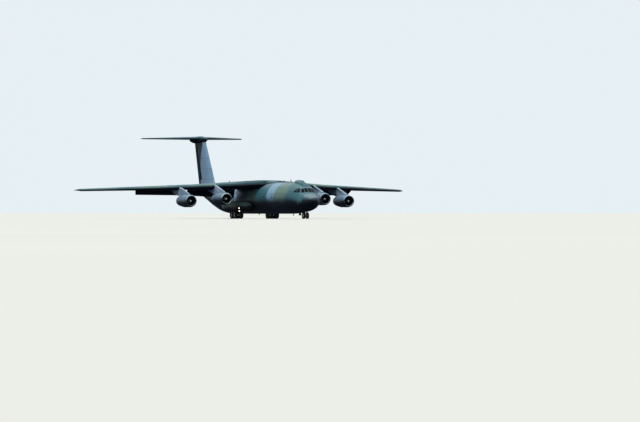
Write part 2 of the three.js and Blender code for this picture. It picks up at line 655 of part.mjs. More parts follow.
// Pylons. Side view outline from the cowl's top up to the wing
function pylon([, station, y, z], wing) {
  const outline = [[560, 700], [660, 885], [4480, 1880], [5600, 2300], [8200, 2100], [8600, 1650],
    [7200, 1060], [5400, 760], [4500, 600], [3000, 500]];
  const half = 170;
  const rows = [[-1, 0.18], [-0.86, 0.8], [0.3, 1], [0.8, 0.6], [1, 0.08]];
  const slab = prism(outline.map(([aft, up]) => [atStation(station + aft), z + up]), true);
  const [front, rear] = [atStation(station + 700), atStation(station + 8700)];
  const plan = rows.map(([place, share]) => [front + ((rear - front) * (place + 1)) / 2, half * share]);
  const blade = prism([...plan.map(([x, w]) => [x, y + w]), ...plan.reverse().map(([x, w]) => [x, y - w])]);
  const outside = COWL.slice(0, 7).map(([aft, radius]) => [aft, radius + TOUCH]);
  const nacelle = turned([[0, 0], ...outside, [4650 + TOUCH, 640], [4650 + TOUCH, 0]], station, y, z, 20);
  const shifts = [[0, 0, 0], [TOUCH, 0, 0], [0, 0, -TOUCH], [0, 0, 500], [-400, 0, 250]];
  const under = union(shifts.map((shift) => moved(wing, ...shift)));
  return largest(slab.intersect(blade).subtract(nacelle).subtract(under));
}

// Tail: bullet fairing sections: station, half width, half height
const BULLET = [
  [43300, 20, 20],
  [43700, 200, 190],
  [44600, 380, 400],
  [46200, 470, 530],
  [48600, 450, 500],
  [50200, 270, 280],
  [51100, 30, 30],
];
const BULLET_HEIGHT = 11430;

function bulletBody(grow) {
  return loft(BULLET.map(([s, wide, tall]) => Array.from({ length: 20 }, (_, i) => {
    const angle = (2 * Math.PI * (i + 0.5)) / 20;
    const [across, up] = [(wide + grow) * Math.cos(angle), (tall + grow) * Math.sin(angle)];
    return vec(atStation(s), across, BULLET_HEIGHT + up);
  })));
}

function tailParts() {
  const bullet = bulletBody(0);
  const bulletGrown = bulletBody(1.9 * TOUCH);
  const rudderLine = hingeLine(FIN, 0.7, [5750, 10800], true);
  const finBox = spaceInside(FIN, 45, [0.09, 0.2, 0.4, 0.6], 10500, true);
  const finSplit = hingedOff(liftingSurface(FIN, true).subtract(finBox), rudderLine, true);
  const fin = largest(finSplit.rest.subtract(hullGrown).subtract(bulletGrown));
  const elevatorLine = hingeLine(TAILPLANE, 0.68, [860, 7250]);
  const planeBox = spaceInside(TAILPLANE, 35, [0.09, 0.2, 0.4, 0.6], 6600);
  const planeSplit = hingedOff(liftingSurface(TAILPLANE).subtract(planeBox), elevatorLine);
  const plane = largest(planeSplit.rest.subtract(bulletGrown));
  return { bullet, fin, rudder: finSplit.flap, rudderLine, plane, elevator: planeSplit.flap, elevatorLine };
}

// Paint and materials
const paint = (color, roughness = 0.75, metalness = 0) => (
  new THREE.MeshStandardMaterial({ color, roughness, metalness }));
const FINISH = {
  green: paint(0x44584a),
  grey: paint(0x4b555b),
  radome: paint(0x3b4a45),
  metal: paint(0x8a8d90, 0.4, 0.9),
  steel: paint(0xc9ccd0, 0.35, 0.9),
  tyre: paint(0x1b1b1c, 0.9),
  cabin: paint(0x6d7270, 0.8),
  glass: new THREE.MeshStandardMaterial({
    color: 0x202a2e, roughness: 0.1, transparent: true, opacity: 0.4,
  }),
};

const aircraft = new THREE.Group();
aircraft.userData.axes = {};
const add = (name, body, finish, parent = aircraft) => {
  const mesh = new THREE.Mesh(geometryOf(body.asOriginal().simplify(0.3)), FINISH[finish]);
  mesh.name = name;
  parent.add(mesh);
  return mesh;
};
const noteAxis = (name, from, to) => { aircraft.userData.axes[name] = [from.clone(), to.clone()]; };
const flipped = (p) => vec(p.x, -p.y, p.z);
const SIDES = [['left', (body) => body, (p) => p.clone()], ['right', mirrored, flipped]];

function addFuselage() {
  const forward = forwardFuselage();
  const rear = rearFuselage();
  const [fixedRear, ramp] = knuckled(rear.fixed, rear.ramp, ...rear.hinge, [0.4, 0.6], 70, 180);
  add('radome', skin.intersect(slice(0, SPLITS.radome)), 'radome');
  add('forward_fuselage', forward.shell, 'green');
  add('crew_door', forward.door, 'green');
  const barrel = skin.intersect(slice(SPLITS.flightDeck, SPLITS.hold));
  add('hold_barrel', barrel.add(jackPad(JACK_PAD.belly, 120)), 'green');
  add('rear_fuselage', fixedRear, 'green');
  add('ramp', ramp, 'grey');
  for (const [side, turn, flip] of SIDES) {
    add(`petal_door_${side}`, turn(rear.portPetal), 'green');
    noteAxis(`petal_door_${side}`, flip(PETAL.from), flip(PETAL.to));
  }
  noteAxis('crew_door', ...forward.axis);
  noteAxis('ramp', ...rear.hinge);
  add('receptacle_fairing', receptacleFairing(), 'green');
  add('flight_deck', flightDeck(), 'cabin');
  add('cockpit_fittings', cockpitFittings(), 'cabin');
  const floor = block([DECK.rear + 30, RAMP.station - CLEAR], [-3000, 3000], [FLOOR_TOP - 260, FLOOR_TOP]);
  add('hold_floor', floor.intersect(cavityShrunk), 'metal');
  const band = block([1700, 3720], [-3000, 3000], [3570, 4250]);
  add('windscreen', cavityShrunk.subtract(fuselageBody(WALL + 26)).intersect(band), 'glass');
}

function addWings() {
  const made = wingParts();
  add('wing_centre', wingCentre(), 'green');
  for (const [side, turn, flip] of SIDES) {
    add(`wing_${side}`, turn(made.wing), 'green');
    add(`aileron_${side}`, turn(made.aileron), 'green');
    noteAxis(`aileron_${side}`, flip(made.aileronLine.from), flip(made.aileronLine.to));
    for (const [name, flap] of Object.entries(made.flaps)) {
      const [from, to] = flap.axis.map(flip);
      const along = to.clone().sub(from).normalize();
      const hanging = new THREE.Group();
      hanging.position.copy(from);
      hanging.quaternion.setFromAxisAngle(along, radians(side === 'left' ? -FLAP_REST : FLAP_REST));
      const body = moved(turn(flap.body), -from.x, -from.y, -from.z);
      add(`flap_${name}_${side}`, body, 'green', hanging);
      aircraft.add(hanging);
      noteAxis(`flap_${name}_${side}`, from, to);
    }
  }
  return made;
}

function addEngines(wing) {
  for (const engine of ENGINES) {
    const [name, station, y, z] = engine;
    const parts = [['cowl', cowl(station, y, z), 'grey'], ['fan', fan(station, y, z), 'steel'],
      ['engine', coreEngine(station, y, z), 'metal'], ['pylon', pylon(engine, wing), 'grey']];
    for (const [side, turn, flip] of SIDES) {
      for (const [piece, body, finish] of parts) add(`${piece}_${name}_${side}`, turn(body), finish);
      const shaft = [station + 1500, station].map((s) => flip(vec(atStation(s), y, z)));
      noteAxis(`fan_${name}_${side}`, ...shaft);
    }
  }
}

function addTail() {
  const made = tailParts();
  add('fin', made.fin, 'green');
  add('rudder', made.rudder, 'green');
  noteAxis('rudder', made.rudderLine.from, made.rudderLine.to);
  add('tail_bullet', made.bullet, 'grey');
  for (const [side, turn, flip] of SIDES) {
    add(`tailplane_${side}`, turn(made.plane), 'green');
    add(`elevator_${side}`, turn(made.elevator), 'green');
    noteAxis(`elevator_${side}`, flip(made.elevatorLine.from), flip(made.elevatorLine.to));
  }
}

function addGear() {
  const { upper, lower } = noseLegs();
  add('nose_leg', upper, 'steel');
  add('nose_steering', lower, 'steel');
  add('nose_wheels', wheelPair(NOSE_GEAR, NOSE_GEAR.station, 0), 'tyre');
  for (const [side, turn] of SIDES) {
    add(`nose_gear_door_${side}`, turn(noseDoor()), 'green');
    add(`gear_pod_${side}`, turn(gearPod()), 'green');
    add(`main_leg_${side}`, turn(mainLeg()), 'steel');
    for (const [place, shift] of [['front', -MAIN_GEAR.spread], ['rear', MAIN_GEAR.spread]]) {
      const pair = wheelPair(MAIN_GEAR, MAIN_GEAR.station + shift, MAIN_GEAR.y);
      add(`main_wheels_${place}_${side}`, turn(pair), 'tyre');
    }
  }
}

addFuselage();
const wings = addWings();
addEngines(wings.whole);
addTail();
addGear();
aircraft.scale.setScalar(MODEL_SCALE);

export default aircraft;
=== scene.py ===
# %% [markdown]
# # A four-engine transport jet, dressed for its portrait
#
# The aircraft's solids come ready from the workshop, each with its place and its joint. This notebook gives
# them their looks: smooth skins in the place of faceted ones, the small fittings, the paint, the light and
# the camera. Lengths are metres of the half-size model, with the nose along +X and the left wing along +Y.

# %% Load the frame
import json
import math

import bpy
from mathutils import Matrix, Vector


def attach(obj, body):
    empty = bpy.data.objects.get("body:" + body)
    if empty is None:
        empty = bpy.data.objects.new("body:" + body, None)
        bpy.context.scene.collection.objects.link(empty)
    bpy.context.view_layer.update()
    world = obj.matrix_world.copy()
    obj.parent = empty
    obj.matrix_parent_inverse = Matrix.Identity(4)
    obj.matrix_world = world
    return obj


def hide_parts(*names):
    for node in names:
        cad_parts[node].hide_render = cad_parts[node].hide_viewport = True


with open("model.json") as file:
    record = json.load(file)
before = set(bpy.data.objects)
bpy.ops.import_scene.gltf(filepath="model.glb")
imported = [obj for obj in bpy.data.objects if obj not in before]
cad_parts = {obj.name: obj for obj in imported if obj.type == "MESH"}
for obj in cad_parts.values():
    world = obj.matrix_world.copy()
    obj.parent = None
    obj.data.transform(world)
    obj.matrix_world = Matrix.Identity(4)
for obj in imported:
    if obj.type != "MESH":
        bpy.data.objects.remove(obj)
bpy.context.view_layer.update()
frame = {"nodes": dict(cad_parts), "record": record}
nodes = frame["nodes"]
print("the model's solids:", len(nodes))

# %% [markdown]
# ## Sizes
#
# The tables below are written in the full-size aircraft's millimetres, as its drawings would be. Stations
# count aft from the nose. One function turns them into the model's metres, so that every piece in this
# notebook is placed by the same numbers as the solid that it dresses.

# %% Sizes and places
HALF_LENGTH = 25645
SCALE = 0.0005  # from the aircraft's millimetres to the half-size model's metres


def at(station, y, z):
    return Vector(((HALF_LENGTH - station) * SCALE, y * SCALE, z * SCALE))


def mm(length):
    return length * SCALE


BARREL = {"radius": 2160, "height": 2850}
HULL = [
    # station, belly, crown, half width
    (0, 2440, 2540, 55),
    (120, 2150, 2820, 400),
    (380, 1820, 3060, 710),
    (760, 1550, 3260, 1000),
    (1300, 1310, 3460, 1280),
    (1950, 1130, 3650, 1530),
    (2750, 1000, 4220, 1760),
    (3500, 930, 4530, 1910),
    (4600, 840, 4830, 2060),
    (6400, 740, 5000, 2160),
    (8600, 690, 5010, 2160),
    (31500, 690, 5010, 2160),
    (34000, 850, 5010, 2150),
    (36500, 1350, 5005, 2030),
    (39500, 2130, 4985, 1690),
    (43000, 3050, 4930, 1240),
    (46200, 4010, 4800, 480),
    (47300, 4420, 4620, 90),
]
SKIN = 90
WHOLE_WIDTH = (-4000, 4000)
WHOLE_HEIGHT = (0, 6000)
SIDES = {"left": 1, "right": -1}
print("length of the model in metres:", mm(2 * HALF_LENGTH))

# %% [markdown]
# ## Hand tools
#
# A few small helpers stand for what a modeller does by hand all day: clear the selection, pick one piece,
# name it, copy it, and move its place into its mesh. An operator acts on all that is selected, so each
# helper first makes sure that only its own piece is.

# %% Pick, name, copy and settle
def deselect():
    bpy.ops.object.select_all(action="DESELECT")


def pick(piece):
    deselect()
    piece.select_set(True)
    bpy.context.view_layer.objects.active = piece


def settle(piece):
    pick(piece)
    bpy.ops.object.transform_apply(location=True, rotation=True, scale=True)
    return piece


def raised(piece, shift):
    piece.location = shift
    return settle(piece)


def named(piece, name):
    piece.name = name
    piece.data.name = name
    return piece


def twin(piece, name):
    pick(piece)
    bpy.ops.object.duplicate()
    return named(bpy.context.object, name)


# %% [markdown]
# The other helpers change a mesh. `edited` runs steps of edit mode, with the whole mesh selected before
# each, and `modified` adds a modifier and applies it at once, so that the mesh handed over is final.

# %% Edit, modify, cut and join
def edited(piece, *steps):
    pick(piece)
    bpy.ops.object.mode_set(mode="EDIT")
    for step in steps:
        bpy.ops.mesh.select_all(action="SELECT")
        step()
    bpy.ops.object.mode_set(mode="OBJECT")
    return piece


def merge():
    bpy.ops.mesh.remove_doubles(threshold=1e-5)


def face_outward():
    bpy.ops.mesh.normals_make_consistent(inside=False)


def modified(piece, kind, **settings):
    modifier = piece.modifiers.new(kind.lower(), kind)
    for key, value in settings.items():
        setattr(modifier, key, value)
    pick(piece)
    bpy.ops.object.modifier_apply(modifier=modifier.name)
    return piece


def cut(piece, tool, operation="DIFFERENCE", keep_tool=False):
    modified(piece, "BOOLEAN", object=tool, operation=operation, solver="EXACT")
    if not keep_tool:
        bpy.data.objects.remove(tool)
    return piece


def joined(pieces, name):
    deselect()
    for piece in pieces:
        piece.select_set(True)
    bpy.context.view_layer.objects.active = pieces[0]
    bpy.ops.object.join()
    return named(bpy.context.object, name)


def mirrored(piece, name):
    other = twin(piece, name)
    other.scale = (1, -1, 1)
    return edited(settle(other), face_outward)


print("the helpers work on meshes in", bpy.context.scene.unit_settings.length_unit.lower())

# %% [markdown]
# ## Skinned bodies
#
# Most of an aircraft is a skin drawn over ribs and frames. `skin_over` makes such a body from a flat grid:
# its rows are moved onto the frames, the grid rolls up into a tube, its seam is sewn, and both ends are
# capped. A grid keeps its corners in a known order, which an extruded ring doesn't.

# %% A skin over a row of rings
def close_ends():
    bpy.ops.mesh.fill_holes(sides=0)


def skin_over(name, rings, closed=False):
    """A closed skin over a row of rings. With closed, the last ring meets the first, as round a tyre."""
    around = len(rings[0])
    if closed:
        rings = [*rings, rings[0]]
    deselect()
    bpy.ops.mesh.primitive_grid_add(x_subdivisions=around, y_subdivisions=len(rings) - 1, size=1)
    piece = named(bpy.context.object, name)
    for row, ring in enumerate(rings):
        for column in range(around + 1):
            piece.data.vertices[row * (around + 1) + column].co = ring[column % around]
    return settle(edited(piece, merge, close_ends, face_outward))


def oval(station, y, z, wide, tall, around=48, power=1.0):
    """A ring round a frame. A power below 1 makes it squarer."""
    ring = []
    for i in range(around):
        angle = 2 * math.pi * i / around
        c, s = math.cos(angle), math.sin(angle)
        c = math.copysign(abs(c) ** power, c)
        s = math.copysign(abs(s) ** power, s)
        ring.append(at(station, y + wide * c, z + tall * s))
    return ring


print("a ring's first point:", [round(v, 3) for v in oval(8600, 0, 2850, 2160, 2160)[0]])

# %% [markdown]
# A table row every few metres isn't enough for a smooth nose, so the rows between are worked out with a
# curve that passes through each given row and never overshoots it.

# %% Smooth rows between the table's rows
def slopes_of(xs, ys):
    steps = [(ys[i + 1] - ys[i]) / (xs[i + 1] - xs[i]) for i in range(len(xs) - 1)]
    slopes = [steps[0]]
    for a, b in zip(steps, steps[1:]):
        slopes.append(0 if a * b <= 0 else 2 * a * b / (a + b))
    return slopes + [steps[-1]]


def smooth_row(table, station):
    xs = [row[0] for row in table]
    i = max(0, min(len(xs) - 2, sum(x <= station for x in xs) - 1))
    width = xs[i + 1] - xs[i]
    t = (station - xs[i]) / width
    row = [station]
    for column in range(1, len(table[0])):
        ys = [r[column] for r in table]
        slopes = slopes_of(xs, ys)
        a, b = ys[i], ys[i + 1]
        ma, mb = slopes[i] * width, slopes[i + 1] * width
        value = (2 * t**3 - 3 * t**2 + 1) * a + (t**3 - 2 * t**2 + t) * ma
        value += (-2 * t**3 + 3 * t**2) * b + (t**3 - t**2) * mb
        row.append(value)
    return row


def spread(start, end, count):
    return [start + (end - start) * i / (count - 1) for i in range(count)]


def smoothed(points, between=4):
    """More points on a smooth curve through the given ones."""
    table = [(i, *point) for i, point in enumerate(points)]
    count = (len(points) - 1) * between + 1
    return [tuple(smooth_row(table, i / between)[1:]) for i in range(count)]


print("the hull at station 3000:", [round(v) for v in smooth_row(HULL, 3000)])

# %% [markdown]
# Spinners, cowls, tyres and struts are all round. A lathe turns a profile about an axis, and the same skin
# helper closes it. Pipes and cables follow a row of points, with one ring square to the path at each.

# %% Turned bodies and pipes
AFT = Vector((-1, 0, 0))
LEFT = Vector((0, 1, 0))
UP = Vector((0, 0, 1))


def circle(middle, axis, radius, around):
    side = axis.orthogonal().normalized()
    across = axis.cross(side)
    angles = [2 * math.pi * i / around for i in range(around)]
    return [middle + (side * math.cos(a) + across * math.sin(a)) * radius for a in angles]


def turned(name, profile, centre, axis=AFT, around=48, closed=False):
    """A body of revolution. A point of the profile is its distance along the axis and its radius."""
    rings = [circle(centre + axis * mm(along), axis, mm(radius), around) for along, radius in profile]
    return skin_over(name, rings, closed)


def pipe(name, points, radius, around=12):
    rings = []
    for i, point in enumerate(points):
        ahead = points[min(i + 1, len(points) - 1)] - points[max(i - 1, 0)]
        rings.append(circle(point, ahead.normalized(), mm(radius), around))
    return skin_over(name, rings)


def spun_copies(piece, count, centre, name, axis=AFT):
    """Copies of a piece, evenly round an axis, joined into one."""
    copies = [piece]
    for i in range(1, count):
        other = twin(piece, f"{name}_{i}")
        turn = Matrix.Rotation(2 * math.pi * i / count, 4, axis)
        other.matrix_world = Matrix.Translation(centre) @ turn @ Matrix.Translation(-centre)
        copies.append(settle(other))
    return joined(copies, name)


def rod(name, centre, axis, ends, radius, around=24):
    """A plain round rod along an axis, between two distances from its centre."""
    start, end = ends
    return turned(name, [(start, 0), (start, radius), (end, radius), (end, 0)], centre, axis, around)


def bar(name, corner, opposite, width=0.004):
    """A block between two corners, with its edges rounded to a width in metres."""
    deselect()
    bpy.ops.mesh.primitive_cube_add(size=1, location=(corner + opposite) / 2)
    piece = named(bpy.context.object, name)
    piece.scale = [abs(v) for v in opposite - corner]
    limit = {"limit_method": "ANGLE", "angle_limit": math.radians(40)}
    return modified(settle(piece), "BEVEL", width=width, segments=2, **limit)


print("aft, left and up:", tuple(AFT), tuple(LEFT), tuple(UP))

# %% [markdown]
# ## Paint and other finishes
#
# Shader maths reads best as ordinary sums. `Value` wraps the output of a node, and each operator on it adds
# one Math node, so that a line such as `1 - mask * 0.3` wires itself.

# %% Sums on shader values
class Value:
    def __init__(self, wiring, socket):
        self.wiring = wiring
        self.socket = socket

    def sums(self, operation, *inputs):
        return self.wiring.node("ShaderNodeMath", {"operation": operation}, inputs)

    def __add__(self, other):
        return self.sums("ADD", self, other)

    def __sub__(self, other):
        return self.sums("SUBTRACT", self, other)

    def __rsub__(self, other):
        return self.sums("SUBTRACT", other, self)

    def __mul__(self, other):
        return self.sums("MULTIPLY", self, other)

    def __truediv__(self, other):
        return self.sums("DIVIDE", self, other)

    __radd__ = __add__
    __rmul__ = __mul__

    def absolute(self):
        return self.sums("ABSOLUTE", self)

    def smaller(self, other):
        return self.sums("MINIMUM", self, other)

    def from_line(self, pitch, offset=0.0):
        """The distance to the nearest of a row of lines that lie pitch apart."""
        turns = (self + offset) / pitch + 0.5
        return (turns.sums("FRACT", turns) - 0.5).absolute() * pitch


print("defined:", Value.__name__)

# %% [markdown]
# `Wiring` adds every other kind of node to a tree from its type, its settings and its inputs. It also knows
# the few nodes that this notebook uses over and over: noise, a soft step, and a mix of two colours.

# %% Nodes by name
class Wiring:
    def __init__(self, tree):
        self.tree = tree

    def node(self, kind, settings=None, inputs=(), output=0):
        node = self.tree.nodes.new(kind)
        for key, value in (settings or {}).items():
            setattr(node, key, value)
        pairs = inputs.items() if isinstance(inputs, dict) else enumerate(inputs)
        for key, value in pairs:
            if isinstance(value, Value):
                self.tree.links.new(value.socket, node.inputs[key])
            else:
                node.inputs[key].default_value = value
        return Value(self, node.outputs[output])

    def place(self):
        return self.node("ShaderNodeTexCoord", output="Object")

    def facing(self):
        """How far the surface faces up: 1 on a roof, 0 on a wall and -1 on a belly."""
        return self.split(self.node("ShaderNodeTexCoord", output="Normal"))[2]

    def split(self, vector):
        first = self.node("ShaderNodeSeparateXYZ", inputs=[vector])
        return [Value(self, socket) for socket in first.socket.node.outputs]

    def stretched(self, vector, scale):
        return self.node("ShaderNodeMapping", {}, {"Vector": vector, "Scale": scale})

    def noise(self, vector, scale, detail=3.0, rough=0.5):
        inputs = {"Vector": vector, "Scale": scale, "Detail": detail, "Roughness": rough}
        return self.node("ShaderNodeTexNoise", {}, inputs)

    def step(self, value, low, high):
        """0 below low and 1 above high, with a soft change between."""
        inputs = {"Value": value, "From Min": low, "From Max": high}
        return self.node("ShaderNodeMapRange", {"interpolation_type": "SMOOTHSTEP"}, inputs)

    def mix(self, factor, first, second):
        inputs = {0: factor, 6: first, 7: second}
        return self.node("ShaderNodeMix", {"data_type": "RGBA"}, inputs, output=2)


print("defined:", Wiring.__name__)

# %% [markdown]
# `Finish` is one material made with such wiring. A number that is the same all over the surface goes onto
# the shader's own socket, and only what changes from place to place is linked to it.

# %% One material
class Finish(Wiring):
    def __init__(self, name, roughness=0.6, metallic=0.0, **shader_inputs):
        self.material = bpy.data.materials.new(name)
        self.material.use_nodes = True
        super().__init__(self.material.node_tree)
        self.shader = self.tree.nodes["Principled BSDF"]
        self.shader.inputs["Roughness"].default_value = roughness
        self.shader.inputs["Metallic"].default_value = metallic
        for key, value in shader_inputs.items():
            self.shader.inputs[key.replace("_", " ")].default_value = value

    def feed(self, socket, value):
        self.tree.links.new(value.socket, self.shader.inputs[socket])

    def bump(self, height, strength, distance):
        inputs = {"Height": height, "Strength": strength, "Distance": distance}
        self.feed("Normal", self.node("ShaderNodeBump", {}, inputs))


print("materials before the first paint:", len(bpy.data.materials))

# %% [markdown]
# ### Camouflage
#
# The real aircraft wears a matt wrap-round scheme of greens and grey, sprayed freehand, so the borders
# wander and are slightly soft. Noise with a very large grain draws the borders here. The undersides are
# darkened nearly to black, dark paint with painted shade on it. The paint is then aged: streaks run along
# the airflow and the seams between panels collect dirt. The tops turn paler, partly faded by the sun and
# partly painted light.

# %% Camouflage colours
PAINT = {
    "green": (0.030, 0.105, 0.130, 1),
    "olive": (0.098, 0.172, 0.144, 1),
    "slate": (0.165, 0.280, 0.395, 1),
    "nose": (0.026, 0.066, 0.084, 1),
    "night": (0.006, 0.010, 0.018, 1),
    # painted shade: what faces down, over the undersides' dark paint
    "under": (0.003, 0.005, 0.010, 1),
    "fin": (0.140, 0.245, 0.360, 1),
    "cowl": (0.155, 0.240, 0.335, 1),
    "cowl_worn": (0.110, 0.175, 0.245, 1),
    "pylon": (0.250, 0.345, 0.440, 1),
    # painted shade: leading edges and other sides turned away from the sky
    "edge": (0.010, 0.025, 0.031, 1),
    "dirt": (0.014, 0.018, 0.020, 1),
    # pale tops: paint faded by the sun, with painted light on it
    "faded_and_lit": (0.300, 0.390, 0.415, 1),
}
CAMOUFLAGE = ("green", "olive", "slate")
GREENS = ("green", "olive", "green")
print("colours mixed for the paints:", len(PAINT))

# %% [markdown]
# Panels are riveted along frames and stringers, so their seams lie at a steady pitch. A seam is the
# distance to the nearest of a row of lines, and the smaller of two such distances makes a net.

# %% Panel seams
# pitch and start of the rows of seams, in metres
SEAMS = {
    "frames": (1.02, 0.18),
    "wing_ribs": (1.31, 0.4),
    "wing_spars": (0.83, 0.1),
    "fin_ribs": (0.74, 0.1),
    "fin_spars": (0.61, 0.1),
    "rings": (0.52, 0.1),
}
STRINGERS = (math.radians(30), 0.26)
WING_SWEEP = 0.42
FIN_SWEEP = 0.5


def panel_lines(finish, x, y, z, kind):
    """The distance to the nearest panel seam, laid out for a fuselage, a wing, a fin or a cowl."""
    if kind == "hull":
        turn = finish.node("ShaderNodeMath", {"operation": "ARCTAN2"}, (z - mm(BARREL["height"]), y))
        stringers = turn.from_line(*STRINGERS) * mm(BARREL["radius"])
        return x.from_line(*SEAMS["frames"]).smaller(stringers)
    if kind == "wing":
        spars = (x + y.absolute() * WING_SWEEP).from_line(*SEAMS["wing_spars"])
        return y.from_line(*SEAMS["wing_ribs"]).smaller(spars)
    if kind == "fin":
        spars = (x + z * FIN_SWEEP).from_line(*SEAMS["fin_spars"])
        return z.from_line(*SEAMS["fin_ribs"]).smaller(spars)
    return x.from_line(*SEAMS["rings"])


print("rows of seams:", len(SEAMS) + 1)

# %% [markdown]
# On the forward fuselage the colours come in bands, whose borders lean and wander: a little of the noise is
# added to the place before it is compared. Aft of them the patches are free.

# %% Borders between the colours
# where each band starts, in metres ahead of the middle, with the width of its soft border
BANDS = {"nose": (10.3, 10.8), "olive": (8.3, 8.55), "slate": (6.8, 7.05), "free": (5.15, 5.4)}


def hull_bands(finish, x, z, drift, olive, slate):
    """The bands round the forward fuselage, from the nose aft: green, olive, grey, then free patches."""
    bent = x + (drift - 0.5) * 2.6 + z * 0.25
    nose = finish.step(bent, *BANDS["nose"])
    olive_start = finish.step(bent, *BANDS["olive"])
    slate_start = finish.step(bent, *BANDS["slate"])
    free = 1 - finish.step(bent, *BANDS["free"])
    return olive * free + olive_start - nose, slate * free + slate_start - olive_start


def fin_patch(finish, x, z, drift):
    """The dark rear of the fin. Its border stands upright, and near the top it turns forward."""
    border = x + 10.02 - finish.step(z, 4.1, 5.5) * 0.45 + (drift - 0.5) * 0.5
    return 1 - finish.step(border, -0.05, 0.05)


def patchwork(finish, kind, colours, place, drift):
    """The paint when new: three colours in patches, in bands on the hull, and dark behind on the fin."""
    x, _, z = finish.split(place)
    patches = finish.noise(finish.stretched(place, (0.16, 0.2, 0.3)), 1.6, 2.0, 0.4)
    second = finish.step(patches, 0.545, 0.565)
    third = 1 - finish.step(patches, 0.435, 0.455)
    if kind == "hull":
        second, third = hull_bands(finish, x, z, drift, second, third)
    colour = finish.mix(second, PAINT[colours[0]], PAINT[colours[1]])
    colour = finish.mix(third, colour, PAINT[colours[2]])
    if kind == "fin":
        colour = finish.mix(fin_patch(finish, x, z, drift), colour, PAINT["night"])
    return colour


print("bands on the forward fuselage:", list(BANDS))

# %% [markdown]
# How far a surface faces up decides much of its look: tops are paler, partly sun-faded and partly painted
# light, and the belly is darkened nearly to black with painted shade over dark paint. So each paint has
# soft steps of that, and noise lets their borders wander.

# %% The paint itself
# how far up a surface faces where the painted shade of the underside gives way, then where it has gone
UNDERSIDE_SHADE_LIMITS = (-0.5, 0.08)
# how far up it faces where the pale top (faded paint, painted light) starts, is full, and its least share
FADE_AND_LIGHT = (0.45, 1.0, 0.12)
AIRFLOW = (0.7, 9.0, 9.0)
SEAM_LINE = (0.0035, 0.0085)
SEAM_HALO = (0.0, 0.09)
EDGE_SHADE_COVER = 0.95
UNDERSIDE_SHADE_COVER = 0.97


def camouflage(name, kind, colours=CAMOUFLAGE, under=UNDERSIDE_SHADE_LIMITS, gloss=0.0, fade_and_light=FADE_AND_LIGHT, edge=None):
    """Wrap-round paint. Limits say how far up a surface faces where painted shade or paler tops start."""
    finish = Finish(name, roughness=0.6, Specular_IOR_Level=0.16 + gloss)
    place = finish.place()
    drift = finish.noise(place, 0.35, 3.0, 0.45)
    colour = patchwork(finish, kind, colours, place, drift)
    fading = finish.noise(place, 1.1, 5.0, 0.6)
    up = finish.facing()
    # Paler tops: partly paint faded by the sun, partly painted light where the sun and sky fall on them.
    pale_start, pale_end, pale_least = fade_and_light
    faded_and_lit_top = finish.step(up, pale_start, pale_end) * (finish.step(fading, 0.3, 0.75) * 0.3 + pale_least)
    colour = finish.mix(faded_and_lit_top, colour, PAINT["faded_and_lit"])
    streaks = finish.noise(finish.stretched(place, AIRFLOW), 1.0, 5.0, 0.65)
    grime = finish.step(streaks, 0.48, 0.8) * 0.3
    colour = finish.mix(grime, colour, PAINT["dirt"])
    seam = panel_lines(finish, *finish.split(place), kind)
    line = 1 - finish.step(seam, *SEAM_LINE)
    halo = (1 - finish.step(seam, *SEAM_HALO)) * finish.step(fading, 0.35, 0.65) * 0.2
    colour = finish.mix(line * 0.6 + halo, colour, PAINT["dirt"])
    wandering = up + (drift - 0.5) * 0.25
    # Painted shade on leading edges: what turns away from the sky is darkened to dark green.
    if edge:
        edge_shade = EDGE_SHADE_COVER - finish.step(wandering, *edge) * EDGE_SHADE_COVER
        colour = finish.mix(edge_shade, colour, PAINT["edge"])
    # Painted shade: what faces down is darkened to near black, over the dark paint of the undersides.
    shade = 1 - finish.step(wandering, *under)
    colour = finish.mix(shade * UNDERSIDE_SHADE_COVER, colour, PAINT["under"])
    finish.feed("Base Color", colour)
    finish.feed("Roughness", 0.48 - gloss + fading * 0.2 + grime * 0.3)
    grain = finish.noise(place, 160.0, 2.0, 0.6)
    waves = finish.noise(place, 3.2, 2.0, 0.5)
    finish.bump(waves * 0.35 + grain * 0.02 - line * 0.25, 0.5, 0.004)
    return finish.material


print("a seam's dark line fades out between, in metres:", SEAM_LINE)

# %% The paints of the aircraft
# The fuselage: its lower half darkened by painted shade, nearly black at the belly.
hull_paint = camouflage("camouflage_hull", "hull", under=(-0.32, 0.22), gloss=0.05)
# The wings: painted shade darkens the leading edge to dark green and the underside to near black.
wing_paint = camouflage(
    "camouflage_wing", "wing", GREENS, (0.2, 0.6), -0.04, fade_and_light=(0.45, 1.0, 0.0), edge=(0.82, 0.98)
)
# The flaps: painted shade darkens what faces less than about halfway up.
flap_paint = camouflage("camouflage_flaps", "wing", GREENS, (0.25, 0.55), -0.04)
fin_paint = camouflage("camouflage_fin", "fin", ("fin", "fin", "fin"))
# The pods: painted shade over most of their sides, standing for the shadow of the wing and the fuselage.
pod_paint = camouflage("camouflage_pods", "pod", under=(-0.05, 0.6))
# The cowls: painted shade darkens the lower half, and the paler tops are partly painted light.
cowl_paint = camouflage("cowl_paint", "cowl", ("cowl", "cowl_worn", "cowl"), (-0.2, 0.45), 0.1)
# The pylons: painted shade only on what faces straight down.
pylon_paint = camouflage("pylon_paint", "cowl", ("pylon", "cowl", "pylon"), (-0.95, -0.6), 0.1)
# The lips: painted shade on the lower half; their pale tops are partly a painted highlight.
lip_paint = camouflage("inlet_lip_paint", "cowl", ("cowl", "faded_and_lit", "cowl"), (0.0, 0.5), 0.2)
# Tail and aerials: dark paint, with painted shade on everything that doesn't face the sky.
dark_skin = camouflage("dark_tail_paint", "pod", ("night", "night", "green"), (0.3, 0.8), -0.1)
